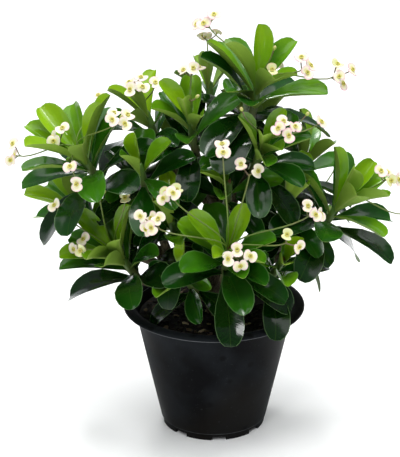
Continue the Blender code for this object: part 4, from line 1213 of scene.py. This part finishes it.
bpy.ops.mesh.primitive_plane_add(size=FLOOR_SIZE)
floor = bpy.context.object
floor.name = "white_floor"
paper, tree, object_place = new_finish("white_paper")
fibre = add(tree, "TexNoise", {"Vector": object_place, "Scale": 0.5 / (8 * MM), "Detail": 2})
tone = add(tree, "Mix", {0: fibre, 6: linear("#fbfbfa"), 7: linear("#fdfdfd")}, **COLOUR_MIX)
skin = add(tree, "BsdfPrincipled", {"Base Color": tone, "Roughness": 0.9, "Specular IOR Level": 0.1,
                                    "Emission Color": (1, 1, 1, 1), "Emission Strength": 0.01})
add(tree, "OutputMaterial", {"Surface": skin})
floor.data.materials.append(paper)
floor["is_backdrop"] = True

# %% Light
SKY_LOW, SKY_HIGH, HORIZON = 0.12, 0.5, 0.85
PLANT_CENTRE = Vector((0, 0, 0.2))
SUN_STRENGTH, SUN_ANGLE = 2.7, math.radians(80)
SUN_PLACE = Vector((0.04, 0.02, 1))
LIGHTS = [
    ("high_behind", (-0.4, 1.0, 1.8), 0.35, 10),
    ("overhead", (0.35, -0.25, 2.0), 0.4, 8),
    ("front_left", (-0.9, -2.0, 1.7), 0.4, 9),
]

world = bpy.data.worlds.new("pale_room")
bpy.context.scene.world = world
world.use_nodes = True
tree = world.node_tree
background = tree.nodes["Background"]
background.inputs["Color"].default_value = linear("#f1f6fb")
direction = add(tree, "TexCoord", output="Generated")
level = add(tree, "SeparateXYZ", {"Vector": direction}, output="Z")
sky = add(tree, "MapRange", {"Value": level, "From Min": 0.1, "From Max": 0.9,
                             "To Min": SKY_LOW, "To Max": SKY_HIGH})
haze = add(tree, "MapRange", {"Value": level, "From Min": 0.15, "From Max": 0.1, "To Max": HORIZON})
sky = add(tree, "Math", {0: sky, 1: haze}, operation="ADD")
tree.links.new(sky, background.inputs["Strength"])


def aimed(name, data, place, target):
    """A lamp or a camera in a place, looking at a target."""
    made = linked(name, data)
    made.location = place
    made.rotation_euler = (target - place).to_track_quat("-Z", "Y").to_euler()
    return made


for name, place, size, power in LIGHTS:
    light = bpy.data.lights.new(name, "AREA")
    light.size, light.energy = size, power
    aimed(name, light, Vector(place), PLANT_CENTRE)
sun = bpy.data.lights.new("sky_light", "SUN")
sun.energy, sun.angle = SUN_STRENGTH, SUN_ANGLE
aimed("sky_light", sun, SUN_PLACE, Vector())

# %% Camera
TARGET = Vector((-0.0162, 0, 0.2396))
DISTANCE, LOOK_DOWN = 1.75, math.radians(21)
FOCAL_LENGTH, FILM_HEIGHT = 121, 36

camera = bpy.data.cameras.new("camera")
camera.lens, camera.sensor_fit, camera.sensor_height = FOCAL_LENGTH, "VERTICAL", FILM_HEIGHT
place = TARGET + Vector((0, -math.cos(LOOK_DOWN), math.sin(LOOK_DOWN))) * DISTANCE
bpy.context.scene.camera = aimed("camera", camera, place, TARGET)
bpy.context.scene.view_settings.view_transform = "Standard"

# %% Size and finish
lowest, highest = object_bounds()
print("visual box in mm:", [[round(v / MM, 1) for v in p] for p in (lowest, highest)])
